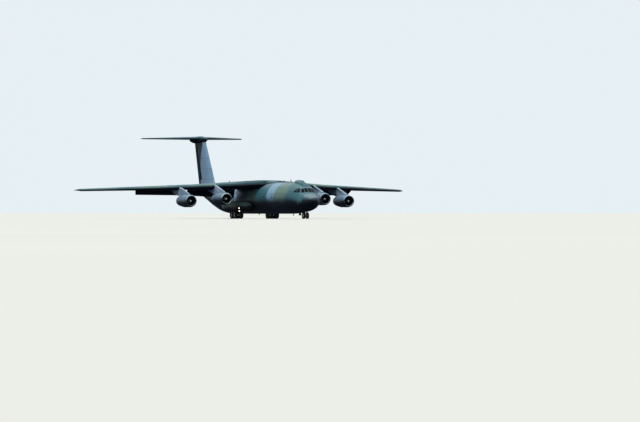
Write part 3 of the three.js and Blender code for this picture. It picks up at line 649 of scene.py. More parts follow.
# The radome: its upper part paled by a painted highlight, its lower half darkened by painted shade.
radome_paint = camouflage(
    "radome_paint", "radome", ("nose", "nose", "nose"), (0.0, 0.5), 0.06, fade_and_light=(0.36, 0.82, 0.42)
)
print("nodes in the hull's paint:", len(hull_paint.node_tree.nodes))

# %% [markdown]
# ### Bare and plain finishes
#
# The spinners, the fans and the nozzles are bare metal; the inlets, legs, wells and hold are painted; the
# tyres are rubber with dust on it. Each takes one noise for its colour and one for its gloss.

# %% Bare and plain finishes
def plain(name, colour, other, roughness, metallic=0.0, scale=6.0, spots=(0.4, 0.7), bump=0.0):
    finish = Finish(name, roughness=roughness, metallic=metallic)
    place = finish.place()
    cloud = finish.noise(place, scale, 5.0, 0.6)
    finish.feed("Base Color", finish.mix(finish.step(cloud, *spots), (*colour, 1), (*other, 1)))
    fine = finish.noise(place, scale * 14, 3.0, 0.6)
    finish.feed("Roughness", fine * 0.16 + (roughness - 0.08))
    if bump:
        finish.bump(fine, bump, 0.002)
    return finish.material


# The inlet lining and guide vanes are nearly black: painted shade standing for the dark deep in the intake.
lining_paint = plain("inlet_lining", (0.022, 0.024, 0.027), (0.012, 0.013, 0.015), 0.6, 0.0, 9.0)
# The fan's dark metal is partly painted shade of the intake too.
fan_metal = plain("fan_titanium", (0.10, 0.10, 0.105), (0.045, 0.045, 0.05), 0.4, 0.85, 22.0)
spinner_metal = plain("spinner_metal", (0.94, 0.94, 0.95), (0.84, 0.84, 0.85), 0.24, 0.85, 14.0)
hot_metal = plain("heat_stained_metal", (0.22, 0.19, 0.16), (0.09, 0.075, 0.065), 0.42, 0.85, 8.0)
tyre_rubber = plain(
    "tyre_rubber", (0.016, 0.016, 0.017), (0.045, 0.042, 0.038), 0.86, 0.0, 18.0, (0.45, 0.8), 0.5
)
hub_paint = plain("hub_paint", (0.50, 0.51, 0.50), (0.24, 0.24, 0.23), 0.45, 0.2, 26.0)
gear_paint = plain("gear_paint", (0.55, 0.56, 0.55), (0.30, 0.29, 0.27), 0.42, 0.1, 16.0, (0.45, 0.8), 0.2)
oleo_chrome = plain("oleo_chrome", (0.80, 0.80, 0.81), (0.66, 0.66, 0.67), 0.12, 1.0, 30.0)
cabin_paint = plain("cabin_paint", (0.24, 0.27, 0.26), (0.17, 0.19, 0.18), 0.6, 0.0, 7.0)
panel_paint = plain("panel_paint", (0.045, 0.050, 0.055), (0.030, 0.033, 0.036), 0.55, 0.0, 20.0)
dial_glass = plain("dial_glass", (0.010, 0.012, 0.013), (0.150, 0.160, 0.150), 0.15, 0.0, 90.0, (0.6, 0.64))
seat_cloth = plain(
    "seat_cloth", (0.060, 0.072, 0.055), (0.035, 0.040, 0.032), 0.92, 0.0, 60.0, (0.3, 0.7), 0.6
)
floor_metal = plain(
    "hold_floor_metal", (0.30, 0.31, 0.31), (0.16, 0.165, 0.16), 0.45, 0.5, 9.0, (0.4, 0.7), 0.3
)
roller_metal = plain("roller_metal", (0.52, 0.53, 0.54), (0.34, 0.34, 0.35), 0.3, 0.9, 20.0)
primer = plain("well_primer", (0.16, 0.19, 0.12), (0.09, 0.105, 0.07), 0.6, 0.0, 9.0)
dark_rubber = plain("seal_rubber", (0.012, 0.012, 0.013), (0.025, 0.024, 0.023), 0.8, 0.0, 30.0)
bare_metal = plain("bare_metal", (0.48, 0.49, 0.50), (0.30, 0.31, 0.32), 0.35, 0.85, 24.0)
print("finishes so far:", len(bpy.data.materials))

# %% [markdown]
# ### Glass and lamps
#
# By day a cockpit's glass looks nearly black from outside, so the panes are dark blue and let little
# through. A lamp is a lens with its light behind it: it has its own colour, a clear coat and a glow.

# %% Glass and lamps
glass_finish = Finish(
    "cockpit_glass", roughness=0.08, Specular_IOR_Level=0.08, Specular_Tint=(0.3, 0.55, 0.8, 1)
)
streak = glass_finish.noise(glass_finish.place(), 12.0, 3.0, 0.6)
glass_colour = glass_finish.mix(streak, (0.001, 0.003, 0.006, 1), (0.004, 0.009, 0.014, 1))
glass_finish.feed("Base Color", glass_colour)
glass_finish.feed("Alpha", streak * 0.1 + 0.82)
cockpit_glass = glass_finish.material


def lamp(name, colour, glow, strength):
    finish = Finish(name, roughness=0.12, Emission_Strength=strength, Coat_Weight=0.5)
    cloud = finish.noise(finish.place(), 30.0, 1.0, 0.5)
    finish.feed("Base Color", finish.mix(cloud, (*colour, 1), tuple(c * 0.6 for c in colour) + (1,)))
    finish.feed("Emission Color", finish.mix(cloud, (*glow, 1), tuple(c * 0.8 for c in glow) + (1,)))
    return finish.material


landing_lamp = lamp("landing_lamp", (0.95, 0.88, 0.78), (1.0, 0.78, 0.60), 2.2)
red_lens = lamp("red_lens", (0.16, 0.012, 0.010), (0.6, 0.01, 0.01), 0.03)
green_lens = lamp("green_lens", (0.006, 0.16, 0.06), (0.01, 0.4, 0.12), 0.03)
clear_lens = lamp("clear_lens", (0.45, 0.46, 0.45), (0.5, 0.5, 0.5), 0.05)
print("finishes in all:", len(bpy.data.materials))

# %% [markdown]
# ### Handing a piece over
#
# A finished piece gets its finish and the body that it moves with. Most pieces come in pairs, so the right
# one is a mirror image of the left one.

# %% The record's material for each finish
RECORD_SLOTS = {
    "green_paint": (hull_paint, wing_paint, flap_paint, fin_paint, pod_paint, dark_skin),
    "grey_paint": (cowl_paint, pylon_paint, lip_paint, lining_paint),
    "radome_paint": (radome_paint,),
    "cabin_paint": (cabin_paint, panel_paint, floor_metal, primer),
    "engine_steel": (hot_metal,),
    "bright_metal": (fan_metal, spinner_metal, bare_metal, roller_metal),
    "gear_steel": (hub_paint, gear_paint, oleo_chrome),
    "tyre": (tyre_rubber,),
    "glass": (cockpit_glass,),
}
SLOT_OF = {finish.name: slot for slot, finishes in RECORD_SLOTS.items() for finish in finishes}
print("finishes with a material in the record:", len(SLOT_OF))

# %% Finish one piece or a pair
def finished(piece, material, body, *replaced, angle=32):
    """Gives a piece its material and its body, and hides the solids that it stands for.

    Edges that bend by less than the angle, in degrees, are shaded smooth.
    """
    pick(piece)
    bpy.ops.object.shade_smooth_by_angle(angle=math.radians(angle))
    piece.data.materials.clear()
    piece.data.materials.append(material)
    material.name in SLOT_OF
    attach(piece, body)
    if replaced:
        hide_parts(*replaced)
    return piece


def pair(piece, material, body, *replaced, angle=32):
    """Finishes a left piece and its mirror image. {side} in a name stands for left or right."""
    stem = piece.name
    halves = {"left": piece, "right": mirrored(piece, f"{stem}_right")}
    named(piece, f"{stem}_left")
    for side, half in halves.items():
        solids = [node.format(side=side) for node in replaced]
        finished(half, material, body.format(side=side), *solids, angle=angle)
    return halves


# %% [markdown]
# ## The fuselage
#
# The workshop's fuselage has twenty-four flat sides, which is right for weighing and colliding, and shows
# in a portrait. Here the same table is skinned again with many more sides and frames. Cutting the inner
# space out of it leaves its wall, and Boolean cuts divide it into the same pieces along the same lines.

# %% A smooth shell of the whole fuselage
HULL_STATIONS = [0, 15, 40, 75, 120, 180, 260, 380, 520, 680, 860, 1080, 1300, 1520, 1740, 1950, 2150]
HULL_STATIONS += [2350, 2550, 2750, 3000, 3250, 3500, 3800, 4200, 4600, 5200, 5800, 6400, 7500, 8600]
HULL_STATIONS += [12000, 16000, 20000, 24000, 28000, 31000]
HULL_STATIONS += spread(31700, 46200, 22) + [46600, 47000, 47300]
DEEP_INSET = 50
DEEP_STATIONS = (260, 46600)


def hull_ring(station, inset=0.0, around=96):
    _, belly, crown, half = smooth_row(HULL, station)
    return oval(station, 0, (belly + crown) / 2, half - inset, (crown - belly) / 2 - inset, around)


def hull_body(name, inset=0.0):
    """The hull, inset all round. A deep inset leaves out the ends, where the hull is thinner than that."""
    first, last = DEEP_STATIONS
    stations = [s for s in HULL_STATIONS if inset < DEEP_INSET or first <= s <= last]
    return skin_over(name, [hull_ring(s, inset) for s in stations])


hull_solid = hull_body("hull_solid")
hull_shell = cut(twin(hull_solid, "hull_shell"), hull_body("hull_space", SKIN))
print("hull shell faces:", len(hull_shell.data.polygons))

# %% [markdown]
# The cutting tools are plain boxes and prisms. They are thrown away once used, so they need no finish.

# %% Cutting tools
def box_tool(stations, ys, zs):
    low, high = at(stations[1], ys[0], zs[0]), at(stations[0], ys[1], zs[1])
    deselect()
    bpy.ops.mesh.primitive_cube_add(size=1, location=(low + high) / 2)
    tool = bpy.context.object
    tool.scale = high - low
    return settle(tool)


def prism_tool(points, depth):
    """A prism over an outline, as long as the vector depth."""
    deselect()
    bpy.ops.mesh.primitive_circle_add(vertices=len(points), fill_type="NGON")
    tool = bpy.context.object
    for vertex, point in zip(tool.data.vertices, points):
        vertex.co = point

    def draw_out():
        bpy.ops.mesh.extrude_region_move(TRANSFORM_OT_translate={"value": depth})

    return settle(edited(tool, draw_out, face_outward))


def shrunk(points, amount):
    """The points of an outline, each moved towards its centre by an amount in metres."""
    centre = sum(points, Vector()) / len(points)
    return [p + (centre - p).normalized() * amount for p in points]


print("shell thickness in metres:", mm(SKIN))

# %% [markdown]
# Cockpit glass is bent to the nose's own curve. So each pane is the part of a prism that lies between two
# insets of the hull, and each rubber frame is cut in the same way from a slightly wider prism.

# %% Outlines of the windows
FRONT_PANES = [
    # each pane's corners: distance from the middle, height
    [(45, 3640), (45, 4190), (430, 4165), (475, 3630)],
    [(545, 3620), (495, 4150), (780, 4075), (1000, 3600)],
]
SIDE_PANES = [
    # each pane's corners: station, height
    [(2450, 3600), (2850, 4080), (2955, 4115), (2965, 3600)],
    [(3060, 3600), (3040, 4150), (3250, 4185), (3640, 3640)],
]
FRONT_PRISM = {"station": 3000, "length": 1900}
SIDE_PRISM = {"middle": 500, "length": 2500}
PANE = {"grow": -6, "outside": 2, "inside": 40}
PANE_FRAME = {"grow": 20, "hole": -8, "outside": -9, "inside": 30}
print("panes on each side:", len(FRONT_PANES) + len(SIDE_PANES))

# %% Windscreen and side windows
def pane_tools(grow=0.0):
    """A prism for each pane. The front panes' prisms point ahead and the side panes' point outboard."""
    ahead = Vector((mm(FRONT_PRISM["length"]), 0, 0))
    tools = []
    for sign in SIDES.values():
        outboard = Vector((0, sign * mm(SIDE_PRISM["length"]), 0))
        for pane in FRONT_PANES:
            points = [at(FRONT_PRISM["station"], sign * y, z) for y, z in pane]
            tools.append(prism_tool(shrunk(points, -mm(grow)), ahead))
        for pane in SIDE_PANES:
            points = [at(station, sign * SIDE_PRISM["middle"], z) for station, z in pane]
            tools.append(prism_tool(shrunk(points, -mm(grow)), outboard))
    return tools


def curved_pieces(tools, outside, inside, name):
    """The parts of some prisms that lie between two insets of the hull, joined into one piece."""
    layer = cut(hull_body("layer", outside), hull_body("layer_inside", inside))
    pieces = [cut(tool, layer, "INTERSECT", keep_tool=True) for tool in tools]
    bpy.data.objects.remove(layer)
    return joined(pieces, name)


windscreen = curved_pieces(pane_tools(PANE["grow"]), PANE["outside"], PANE["inside"], "windscreen_panes")
rings = zip(pane_tools(PANE_FRAME["grow"]), pane_tools(PANE_FRAME["hole"]))
frame_rings = [cut(outer, inner) for outer, inner in rings]
window_frames = curved_pieces(frame_rings, PANE_FRAME["outside"], PANE_FRAME["inside"], "window_frames")
print("glass and frame faces:", len(windscreen.data.polygons), len(window_frames.data.polygons))

# %% [markdown]
# A door and its opening are cut with the same tool: once as it is, for the door, and once grown by the gap
# that lets the door move, for the opening.

# %% Tools for the doors and their openings
CLEAR = 14
CREW_DOOR = {"stations": (5350, 6250), "ys": (1000, 3000), "zs": (1560, 3080)}
RAMP = {"front": 32000, "rear": 36450, "half": 1400, "top_front": 1400, "top_rear": 1760, "lean": 210}
PETAL = {"front": (36640, 1975, 2700), "rear": (42600, 1290, 3760)}
BAY = {"stations": (2650, 4950), "half": 330, "zs": (400, 1800)}
TAIL_STATIONS = (30000, 48000)
FAR = 4000


def door_tool(margin):
    (front, rear), (sill, head) = CREW_DOOR["stations"], CREW_DOOR["zs"]
    return box_tool((front - margin, rear + margin), CREW_DOOR["ys"], (sill - margin, head + margin))


def ramp_tool(margin):
    front, rear = RAMP["front"] - margin, RAMP["rear"] + margin
    half = RAMP["half"] + margin
    outline = [(front, 300), (rear, 300), (rear, 1300), (rear - RAMP["lean"], RAMP["top_rear"] + margin)]
    outline += [(front, RAMP["top_front"] + margin)]
    return prism_tool([at(s, -half, z) for s, z in outline], Vector((0, mm(2 * half), 0)))


def petal_tool(margin, gap, sign):
    """The space below a petal door's hinge line, with ends square to that line."""
    front, rear = at(*PETAL["front"]), at(*PETAL["rear"])
    along = (rear - front).normalized()
    down = LEFT.cross(along).normalized()
    if down.z > 0:
        down.negate()
    start, end = front - along * mm(margin), rear + along * mm(margin)
    top = -down * mm(margin)
    wide = LEFT * mm(FAR)
    points = [start + top - wide, end + top - wide, end + top + wide, start + top + wide]
    half = box_tool(TAIL_STATIONS, (gap, FAR), WHOLE_HEIGHT)
    tool = cut(prism_tool(points, down * mm(FAR)), half, "INTERSECT")
    if sign < 0:
        tool.scale = (1, -1, 1)
        edited(settle(tool), face_outward)
    return tool


def part_of_shell(name, *stations):
    return cut(twin(hull_shell, name), box_tool(stations, WHOLE_WIDTH, WHOLE_HEIGHT), "INTERSECT")


print("gap round the doors in metres:", mm(CLEAR))

# %% Divide the shell
radome = part_of_shell("radome_skin", -500, 1299)
forward = part_of_shell("forward_skin", 1300, 7399)
barrel = part_of_shell("barrel_skin", 7400, 31899)
rear = part_of_shell("rear_skin", 31900, 48000)
for tool in pane_tools():
    cut(forward, tool)
cut(forward, box_tool(BAY["stations"], (-BAY["half"], BAY["half"]), BAY["zs"]))
cut(forward, door_tool(CLEAR))
crew_door = cut(twin(hull_shell, "crew_door_skin"), door_tool(0), "INTERSECT")
petals = {}
for side, sign in SIDES.items():
    petals[side] = cut(twin(hull_shell, f"petal_skin_{side}"), petal_tool(0, CLEAR, sign), "INTERSECT")
    cut(rear, petal_tool(CLEAR, -1, sign))
ramp = cut(twin(hull_solid, "ramp_body"), ramp_tool(0), "INTERSECT")
cut(rear, ramp_tool(CLEAR))
print("fuselage pieces:", radome.name, forward.name, barrel.name, rear.name)

# %% Paint the fuselage
finished(radome, radome_paint, "airframe", "radome")
finished(forward, hull_paint, "airframe", "forward_fuselage")
finished(barrel, hull_paint, "airframe", "hold_barrel")
finished(rear, hull_paint, "airframe", "rear_fuselage")
finished(crew_door, hull_paint, "crew_door", "crew_door")
finished(ramp, hull_paint, "ramp", "ramp")
for side, piece in petals.items():
    finished(piece, hull_paint, f"petal_door_{side}", f"petal_door_{side}")
finished(windscreen, cockpit_glass, "airframe", "windscreen")
finished(window_frames, dark_rubber, "airframe")
print("painted:", [piece.name for piece in (radome, forward, barrel, rear, crew_door, ramp)])

# %% [markdown]
# The camouflage is only on the outside. Inside, the hold and its doors are primed in dull green, the flight
# deck is grey-green, and the ramp is bare metal to walk on. A second material goes on the faces that look
# towards the middle line, which is quicker than a lining of its own and can't touch its neighbours.

# %% Inner faces
INWARD = -0.3


def line_inside(piece, material):
    """Gives the faces that look towards the fuselage's middle line a second material."""
    piece.data.materials.append(material)
    lined = 0
    for face in piece.data.polygons:
        _, belly, crown, _ = smooth_row(HULL, HALF_LENGTH - face.center.x / SCALE)
        away = Vector((0, face.center.y, face.center.z - mm(belly + crown) / 2)).normalized()
        face.material_index = int(face.normal.dot(away) < INWARD)
        lined += face.material_index
    print(piece.name, "inner faces:", lined)


for piece in (forward, crew_door):
    line_inside(piece, cabin_paint)
for piece in (barrel, rear, *petals.values()):
    line_inside(piece, primer)
line_inside(ramp, floor_metal)

# %% [markdown]
# Vehicles climb the ramp on cleats: low bars across it that stand a little proud of the metal.

# %% Cleats across the ramp
RAMP_SLOPE = 0.085
CLEAT = {"half_long": 25, "half_wide": 1250, "sunk": 14, "proud": 16}
cleats = []
for station in spread(32300, 36000, 14):
    top = RAMP["top_front"] + (station - RAMP["front"]) * RAMP_SLOPE
    foot = at(station + CLEAT["half_long"], -CLEAT["half_wide"], top - CLEAT["sunk"])
    head = at(station - CLEAT["half_long"], CLEAT["half_wide"], top + CLEAT["proud"])
    cleats.append(bar(f"cleat_{station:.0f}", foot, head, 0.003))
print("cleats:", len(cleats))
finished(joined(cleats, "ramp_cleats"), roller_metal, "ramp")

# %% [markdown]
# ### Hatches, portholes and seams in the skin
#
# Real skin is full of doors that fit flush, and what shows is a dark line of seal and a round window. Each
# line is cut from a thin coat that stands a few millimetres off the skin, so it follows the curve exactly.

# %% Lines and portholes cut from a thin coat
coat = cut(hull_body("coat", -7), hull_body("coat_inside", 12))
WALL = (500, 3000)
FLUSH_DOORS = [
    # name, stations, heights, line width
    ("troop_door", (30750, 31700), (1650, 3500), 26),
    ("emergency_exit", (10300, 11050), (2350, 3350), 22),
    ("rear_exit", (33000, 33700), (3250, 4050), 22),
    ("avionics_hatch", (1500, 2350), (1600, 2250), 20),
    ("battery_hatch", (6600, 7150), (1500, 2050), 20),
]
PORTHOLES = [
    # name, station, height, radius
    ("troop_door_window", 31225, 2950, 150),
    ("exit_window", 10675, 2950, 150),
    ("hold_window", 14000, 3050, 150),
]
RING = 40
GLASS_GAP = 4
DRILL = {"start": 600, "length": 2500}
DOOR_WINDOW = (5800, 2640)


def wall_box(stations, zs, margin=0):
    (front, end), (low, high) = stations, zs
    return box_tool((front - margin, end + margin), WALL, (low - margin, high + margin))


def wall_cylinder(station, z, radius):
    start = at(station, DRILL["start"], z)
    return rod("porthole_tool", start, LEFT, (0, DRILL["length"]), radius, 32)


def coat_ring(name, station, z, outer, inner):
    ring = cut(twin(coat, name), wall_cylinder(station, z, outer), "INTERSECT")
    return cut(ring, wall_cylinder(station, z, inner))


def coat_disc(name, station, z, radius):
    return cut(twin(coat, name), wall_cylinder(station, z, radius), "INTERSECT")


for name, stations, zs, width in FLUSH_DOORS:
    line = cut(twin(coat, name), wall_box(stations, zs, width), "INTERSECT")
    pair(cut(line, wall_box(stations, zs)), dark_rubber, "airframe")
for name, station, z, radius in PORTHOLES:
    pair(coat_ring(f"{name}_ring", station, z, radius + RING, radius), bare_metal, "airframe")
    pair(coat_disc(f"{name}_glass", station, z, radius - GLASS_GAP), cockpit_glass, "airframe")
finished(coat_disc("crew_door_window", *DOOR_WINDOW, 130), cockpit_glass, "crew_door")
finished(coat_ring("crew_door_window_ring", *DOOR_WINDOW, 165, 134), bare_metal, "crew_door")
bpy.data.objects.remove(coat)
print("flush doors and portholes:", len(FLUSH_DOORS) * 2, len(PORTHOLES) * 2 + 1)

# %% [markdown]
# ### The receptacle fairing and the crown
#
# The hump behind the windscreen covers the receptacle for refuelling in flight. It grows out of the crown
# with no step at its edges, so it is one loft with the fuselage cut away under it.

# %% Receptacle fairing
RECEPTACLE = [
    # station, top, half width
    (2880, 4300, 40),
    (3250, 4620, 330),
    (3900, 4980, 520),
    (4800, 5230, 620),
    (5700, 5330, 620),
    (6600, 5290, 470),
    (7380, 5060, 120),
]
FAIRING_DEPTH = 600
SLIPWAY = ((4350, 5150), (-150, 150), (5240, 5400))
fairing_rings = []
for station in spread(RECEPTACLE[0][0], RECEPTACLE[-1][0], 31):
    _, top, wide = smooth_row(RECEPTACLE, station)
    fairing_rings.append(oval(station, 0, top - FAIRING_DEPTH, wide, FAIRING_DEPTH, 40))
fairing = cut(skin_over("receptacle_skin", fairing_rings), hull_body("fairing_bed", -1))
cut(fairing, box_tool(*SLIPWAY))
finished(fairing, hull_paint, "airframe", "receptacle_fairing", angle=38)
slipway = bar("slipway_floor", at(5145, -146, 5150), at(4355, 146, 5243), 0.001)
finished(slipway, bare_metal, "airframe")
print("receptacle fairing faces:", len(fairing.data.polygons))

# %% [markdown]
# ### Aerials, probes and wipers
#
# A blade aerial is a small swept fin with a lens-shaped section. Pitot heads stand off the nose on short
# arms, and each wiper lies along the foot of its pane.

# %% Blade aerials
AERIALS = [
    # name, station, height of the foot, rise, chord
    ("aerial_crown_front", 8600, 4995, 420, 420),
    ("aerial_crown_middle", 11300, 5000, 330, 360),
    ("aerial_crown_rear", 33500, 4995, 420, 420),
    ("aerial_belly_front", 7600, 720, -330, 360),
    ("aerial_belly_middle", 15200, 700, -280, 330),
]
AERIAL_SHARES = (-0.1, 0.0, 0.6, 0.93, 1.0)
AERIAL_SIZES = (1.0, 1.0, 0.74, 0.58, 0.4)
AERIAL_SWEEP = 0.6
AERIAL_THICKNESS = 46


def lens_ring(station, z, chord, thick, around=16):
    points = []
    for i in range(around):
        angle = 2 * math.pi * i / around
        points.append(at(station + chord / 2 * (1 + math.cos(angle)), thick / 2 * math.sin(angle), z))
    return points


for name, station, foot, rise, chord in AERIALS:
    rings = []
    for share, size in zip(AERIAL_SHARES, AERIAL_SIZES):
        back = station + share * chord * AERIAL_SWEEP
        rings.append(lens_ring(back, foot + rise * share, chord * size, AERIAL_THICKNESS * size))
    finished(skin_over(name, rings), dark_skin, "airframe")
print("aerials:", len(AERIALS))

# %% Pitot heads and beacons
PITOT_HEIGHTS = (2050, 2330)
PITOT_ARM = [(2050, 1420), (2030, 1580), (1960, 1640), (1700, 1650)]
for height in PITOT_HEIGHTS:
    head = pipe(f"pitot_{height}", [at(station, y, height) for station, y in PITOT_ARM], 22)
    pair(head, bare_metal, "airframe")
beacon_profile = [(0, 0), (0, 90), (60, 88), (120, 62), (150, 26), (156, 0)]
finished(turned("beacon_crown", beacon_profile, at(13200, 0, 5010), UP, 24), red_lens, "airframe")
finished(turned("beacon_belly", beacon_profile, at(21500, 0, 700), -UP, 24), red_lens, "airframe")
print("pitot heads:", 2 * len(PITOT_HEIGHTS))

# %% [markdown]
# A wiper has to lie on the curved nose. Its path is drawn in the front view, and each point is pushed back
# until it meets the skin, found by halving the stretch that it must lie in.

# %% Wipers
WIPERS = {
    # distance from the middle, height
    "wiper_inner": [(80, 3640), (250, 3700), (400, 3790)],
    "wiper_outer": [(520, 3630), (640, 3700), (760, 3790)],
}
WIPER_PROUD = 16
NOSE_REACH = (100, 4600)
HALVINGS = 40


def nose_point(y, z):
    """The place just ahead of the nose's skin that lies behind a point of the front view."""
    low, high = NOSE_REACH
    for _ in range(HALVINGS):
        middle = (low + high) / 2
        _, belly, crown, half = smooth_row(HULL, middle)
        level, tall = (belly + crown) / 2, (crown - belly) / 2
        inside = (y / half) ** 2 + ((z - level) / tall) ** 2 < 1
        low, high = (low, middle) if inside else (middle, high)
    return at(high - WIPER_PROUD, y, z)


for stem, path in WIPERS.items():
    pair(pipe(stem, [nose_point(y, z) for y, z in path], 10, 8), dark_rubber, "airframe")
print("wipers:", 2 * len(WIPERS))

# %% [markdown]
# ## Wings and tail
#
# These surfaces are already right in shape, so a copy of each solid is merged along its edges and shaded
# smooth across the shallow ones. The sharp edges at the coves and tips stay sharp.

# %% Smooth copies of the lifting surfaces
def smooth_copy(node, material, body, angle=28):
    piece = twin(nodes[node], f"{node}_skin")
    piece.parent = None
    return finished(edited(piece, merge), material, body, node, angle=angle)


body_of = {n: body for body, members in frame["record"]["behaviour"]["bodies"].items() for n in members}
WING_NODES = ("wing_left", "wing_right", "aileron_", "tailplane_", "elevator_")
for name in sorted(nodes):
    if name.startswith(WING_NODES):
        smooth_copy(name, wing_paint, body_of[name])
    elif name.startswith("flap_"):
        smooth_copy(name, flap_paint, body_of[name])
smooth_copy("wing_centre", wing_paint, "airframe", angle=40)
smooth_copy("fin", fin_paint, "airframe")
smooth_copy("rudder", dark_skin, "rudder")
for side in SIDES:
    smooth_copy(f"nose_gear_door_{side}", pod_paint, "airframe")

# %% [markdown]
# A leading edge is a separate skin on the real wing, screwed on so that it can be changed when hail has
# dented it. It's drawn over the solid's nose from the same section formula, with many more points.

# %% The section of a lifting surface
WING = [
    # span, leading edge, chord, thickness ratio, height, incidence
    (1250, 15945, 9650, 0.13, 4520, 4.0),
    (9900, 20410, 6400, 0.12, 4300, 1.2),
    (23900, 27630, 3300, 0.105, 3960, 0),
    (24370, 28150, 2600, 0.06, 3955, 0),
]
TAILPLANE = [
    (0, 45633, 4400, 0.11, 11600, 0),
    (7450, 49432, 1820, 0.1, 11600, 0),
    (7660, 49760, 1530, 0.06, 11600, 0),
]
FIN = [
    (4300, 39760, 6900, 0.12, 0, 0),
    (11300, 44306, 4550, 0.11, 0, 0),
]
CAMBER = 0.018
TWIST_POINT = 0.4
THICKNESS_TERMS = (0.2969, -0.126, -0.3516, 0.2843, -0.1015)
EDGE_SHARES = (0.1, 0.07, 0.045, 0.026, 0.013, 0.005, 0.001, 0)
EDGE_PROUD = 4
EDGE_SUNK = -7


def straight_row(table, span):
    after = next(i for i in range(1, len(table)) if table[i][0] >= span - 1e-6)
    low, high = table[after - 1], table[after]
    share = (span - low[0]) / (high[0] - low[0])
    return [a + (b - a) * share for a, b in zip(low, high)]


def half_thickness(share, ratio):
    powers = (math.sqrt(share), share, share**2, share**3, share**4)
    return 5 * ratio * sum(term * power for term, power in zip(THICKNESS_TERMS, powers))


def surface_point(row, share, height, upright=False):
    span, edge, chord, _, offset, incidence = row
    along, up, tilt = (share - TWIST_POINT) * chord, height * chord, math.radians(incidence)
    aft = edge + TWIST_POINT * chord + along * math.cos(tilt) + up * math.sin(tilt)
    rise = offset - along * math.sin(tilt) + up * math.cos(tilt)
    return at(aft, rise, span) if upright else at(aft, span, rise)


print("half thickness at a tenth of the chord:", round(half_thickness(0.1, 0.12), 4))

# %% A thin loop round the nose of a section
def edge_ring(row, upright):
    """Out along the outside of the section's nose, and back along the inside of the sheet."""
    camber = 0 if upright else CAMBER * 4
    middle = [(s, camber * s * (1 - s), half_thickness(s, row[3])) for s in EDGE_SHARES]
    outline = [(s, c + h) for s, c, h in middle] + [(s, c - h) for s, c, h in reversed(middle[:-1])]
    outer, inner = [], []
    for i, (s, h) in enumerate(outline):
        before, after = outline[max(i - 1, 0)], outline[min(i + 1, len(outline) - 1)]
        normal = Vector((after[1] - before[1], before[0] - after[0])).normalized()
        for side, lift in ((outer, EDGE_PROUD), (inner, EDGE_SUNK)):
            moved = normal * (lift / row[2])
            side.append(surface_point(row, s + moved.x, h + moved.y, upright))
    return outer + inner[::-1]


def leading_edge(name, table, spans, upright=False):
    return skin_over(name, [edge_ring(straight_row(table, span), upright) for span in spans])


print("points round a leading edge:", len(edge_ring(WING[0], False)))

# %% Leading edges
wing_edge = leading_edge("wing_edge", WING, [1600, 4000, 7000, 9900, 14000, 19000, 23880])
pair(wing_edge, wing_paint, "airframe", angle=40)
tailplane_edge = leading_edge("tailplane_edge", TAILPLANE, [520, 3000, 5500, 7440])
pair(tailplane_edge, wing_paint, "airframe", angle=40)
fin_edge = leading_edge("fin_edge", FIN, [5050, 7000, 9000, 10900], upright=True)
finished(fin_edge, fin_paint, "airframe", angle=40)
print("leading edge faces:", len(wing_edge.data.polygons))

# %% [markdown]
# ### Bullet fairing, tip lamps and static wicks
#
# The bullet where the tail surfaces cross is round and long, so it is turned with many more frames than the
# solid. Wicks of stiff wire trail from the ailerons and bleed off the charge that cloud rubs onto the skin.

# %% Bullet fairing
BULLET = [
    # station, half width, half height
    (43300, 20, 20),
    (43700, 200, 190),
    (44600, 380, 400),
    (46200, 470, 530),
    (48600, 450, 500),
    (50200, 270, 280),
    (51100, 30, 30),
]
BULLET_FLATS = 0.987  # the twenty-sided solid reaches this share of its corners' radius at its top
BULLET_HEIGHT = 11430
bullet_rings = []
for station in spread(BULLET[0][0], BULLET[-1][0], 40):
    _, wide, tall = smooth_row(BULLET, station)
    bullet_rings.append(oval(station, 0, BULLET_HEIGHT, wide * BULLET_FLATS, tall * BULLET_FLATS, 40))
finished(skin_over("bullet_skin", bullet_rings), dark_skin, "airframe", "tail_bullet")
print("rings of the bullet:", len(bullet_rings))

# %% Lamps at the tail and the wing tips
TAIL_LAMP = [(0, 0), (0, 44), (70, 40), (110, 22), (120, 0)]
TIP_LAMP = [(0, 0), (30, 22), (120, 40), (300, 40), (480, 24), (560, 0)]
tail_lamp = turned("tail_lamp", TAIL_LAMP, at(50980, 0, BULLET_HEIGHT), AFT, 20)
finished(tail_lamp, clear_lens, "airframe")
for (side, sign), lens in zip(SIDES.items(), (red_lens, green_lens)):
    tip_lamp = turned(f"tip_lamp_{side}", TIP_LAMP, at(27960, sign * 24250, 3975), AFT, 20)
    finished(tip_lamp, lens, "airframe")
print("length of a tip lamp in metres:", mm(TIP_LAMP[-1][0]))

# %% Static wicks
WICK = {"share": 0.985, "height": 0.001, "length": 210, "droop": 6, "radius": 6}
trail = Vector((-mm(WICK["length"]), 0, -mm(WICK["droop"])))
wicks = []
for i, span in enumerate(spread(17200, 23200, 6)):
    foot = surface_point(straight_row(WING, span), WICK["share"], WICK["height"])
    wicks.append(pipe(f"wick_{i}", [foot, foot + trail], WICK["radius"], 6))
print("wicks on each side:", len(wicks))
pair(joined(wicks, "static_wicks"), dark_rubber, "aileron_{side}")

# %% [markdown]
# ## Engines
#
# Each engine hangs ahead of the wing in a long round cowl. From the front one sees the painted lip, the
# dark lining, the long bright spinner and the guide vanes behind it. From behind one sees the gap where
# the fan's air leaves, the hot nozzle and the plug in it. Each is a piece of its own, with its finish.

# %% Profiles of the engine
ENGINES = [
    # name, station, distance from the middle, height
    ("outboard", 16850, 11700, 2470),
    ("inboard", 14600, 7300, 2750),
]
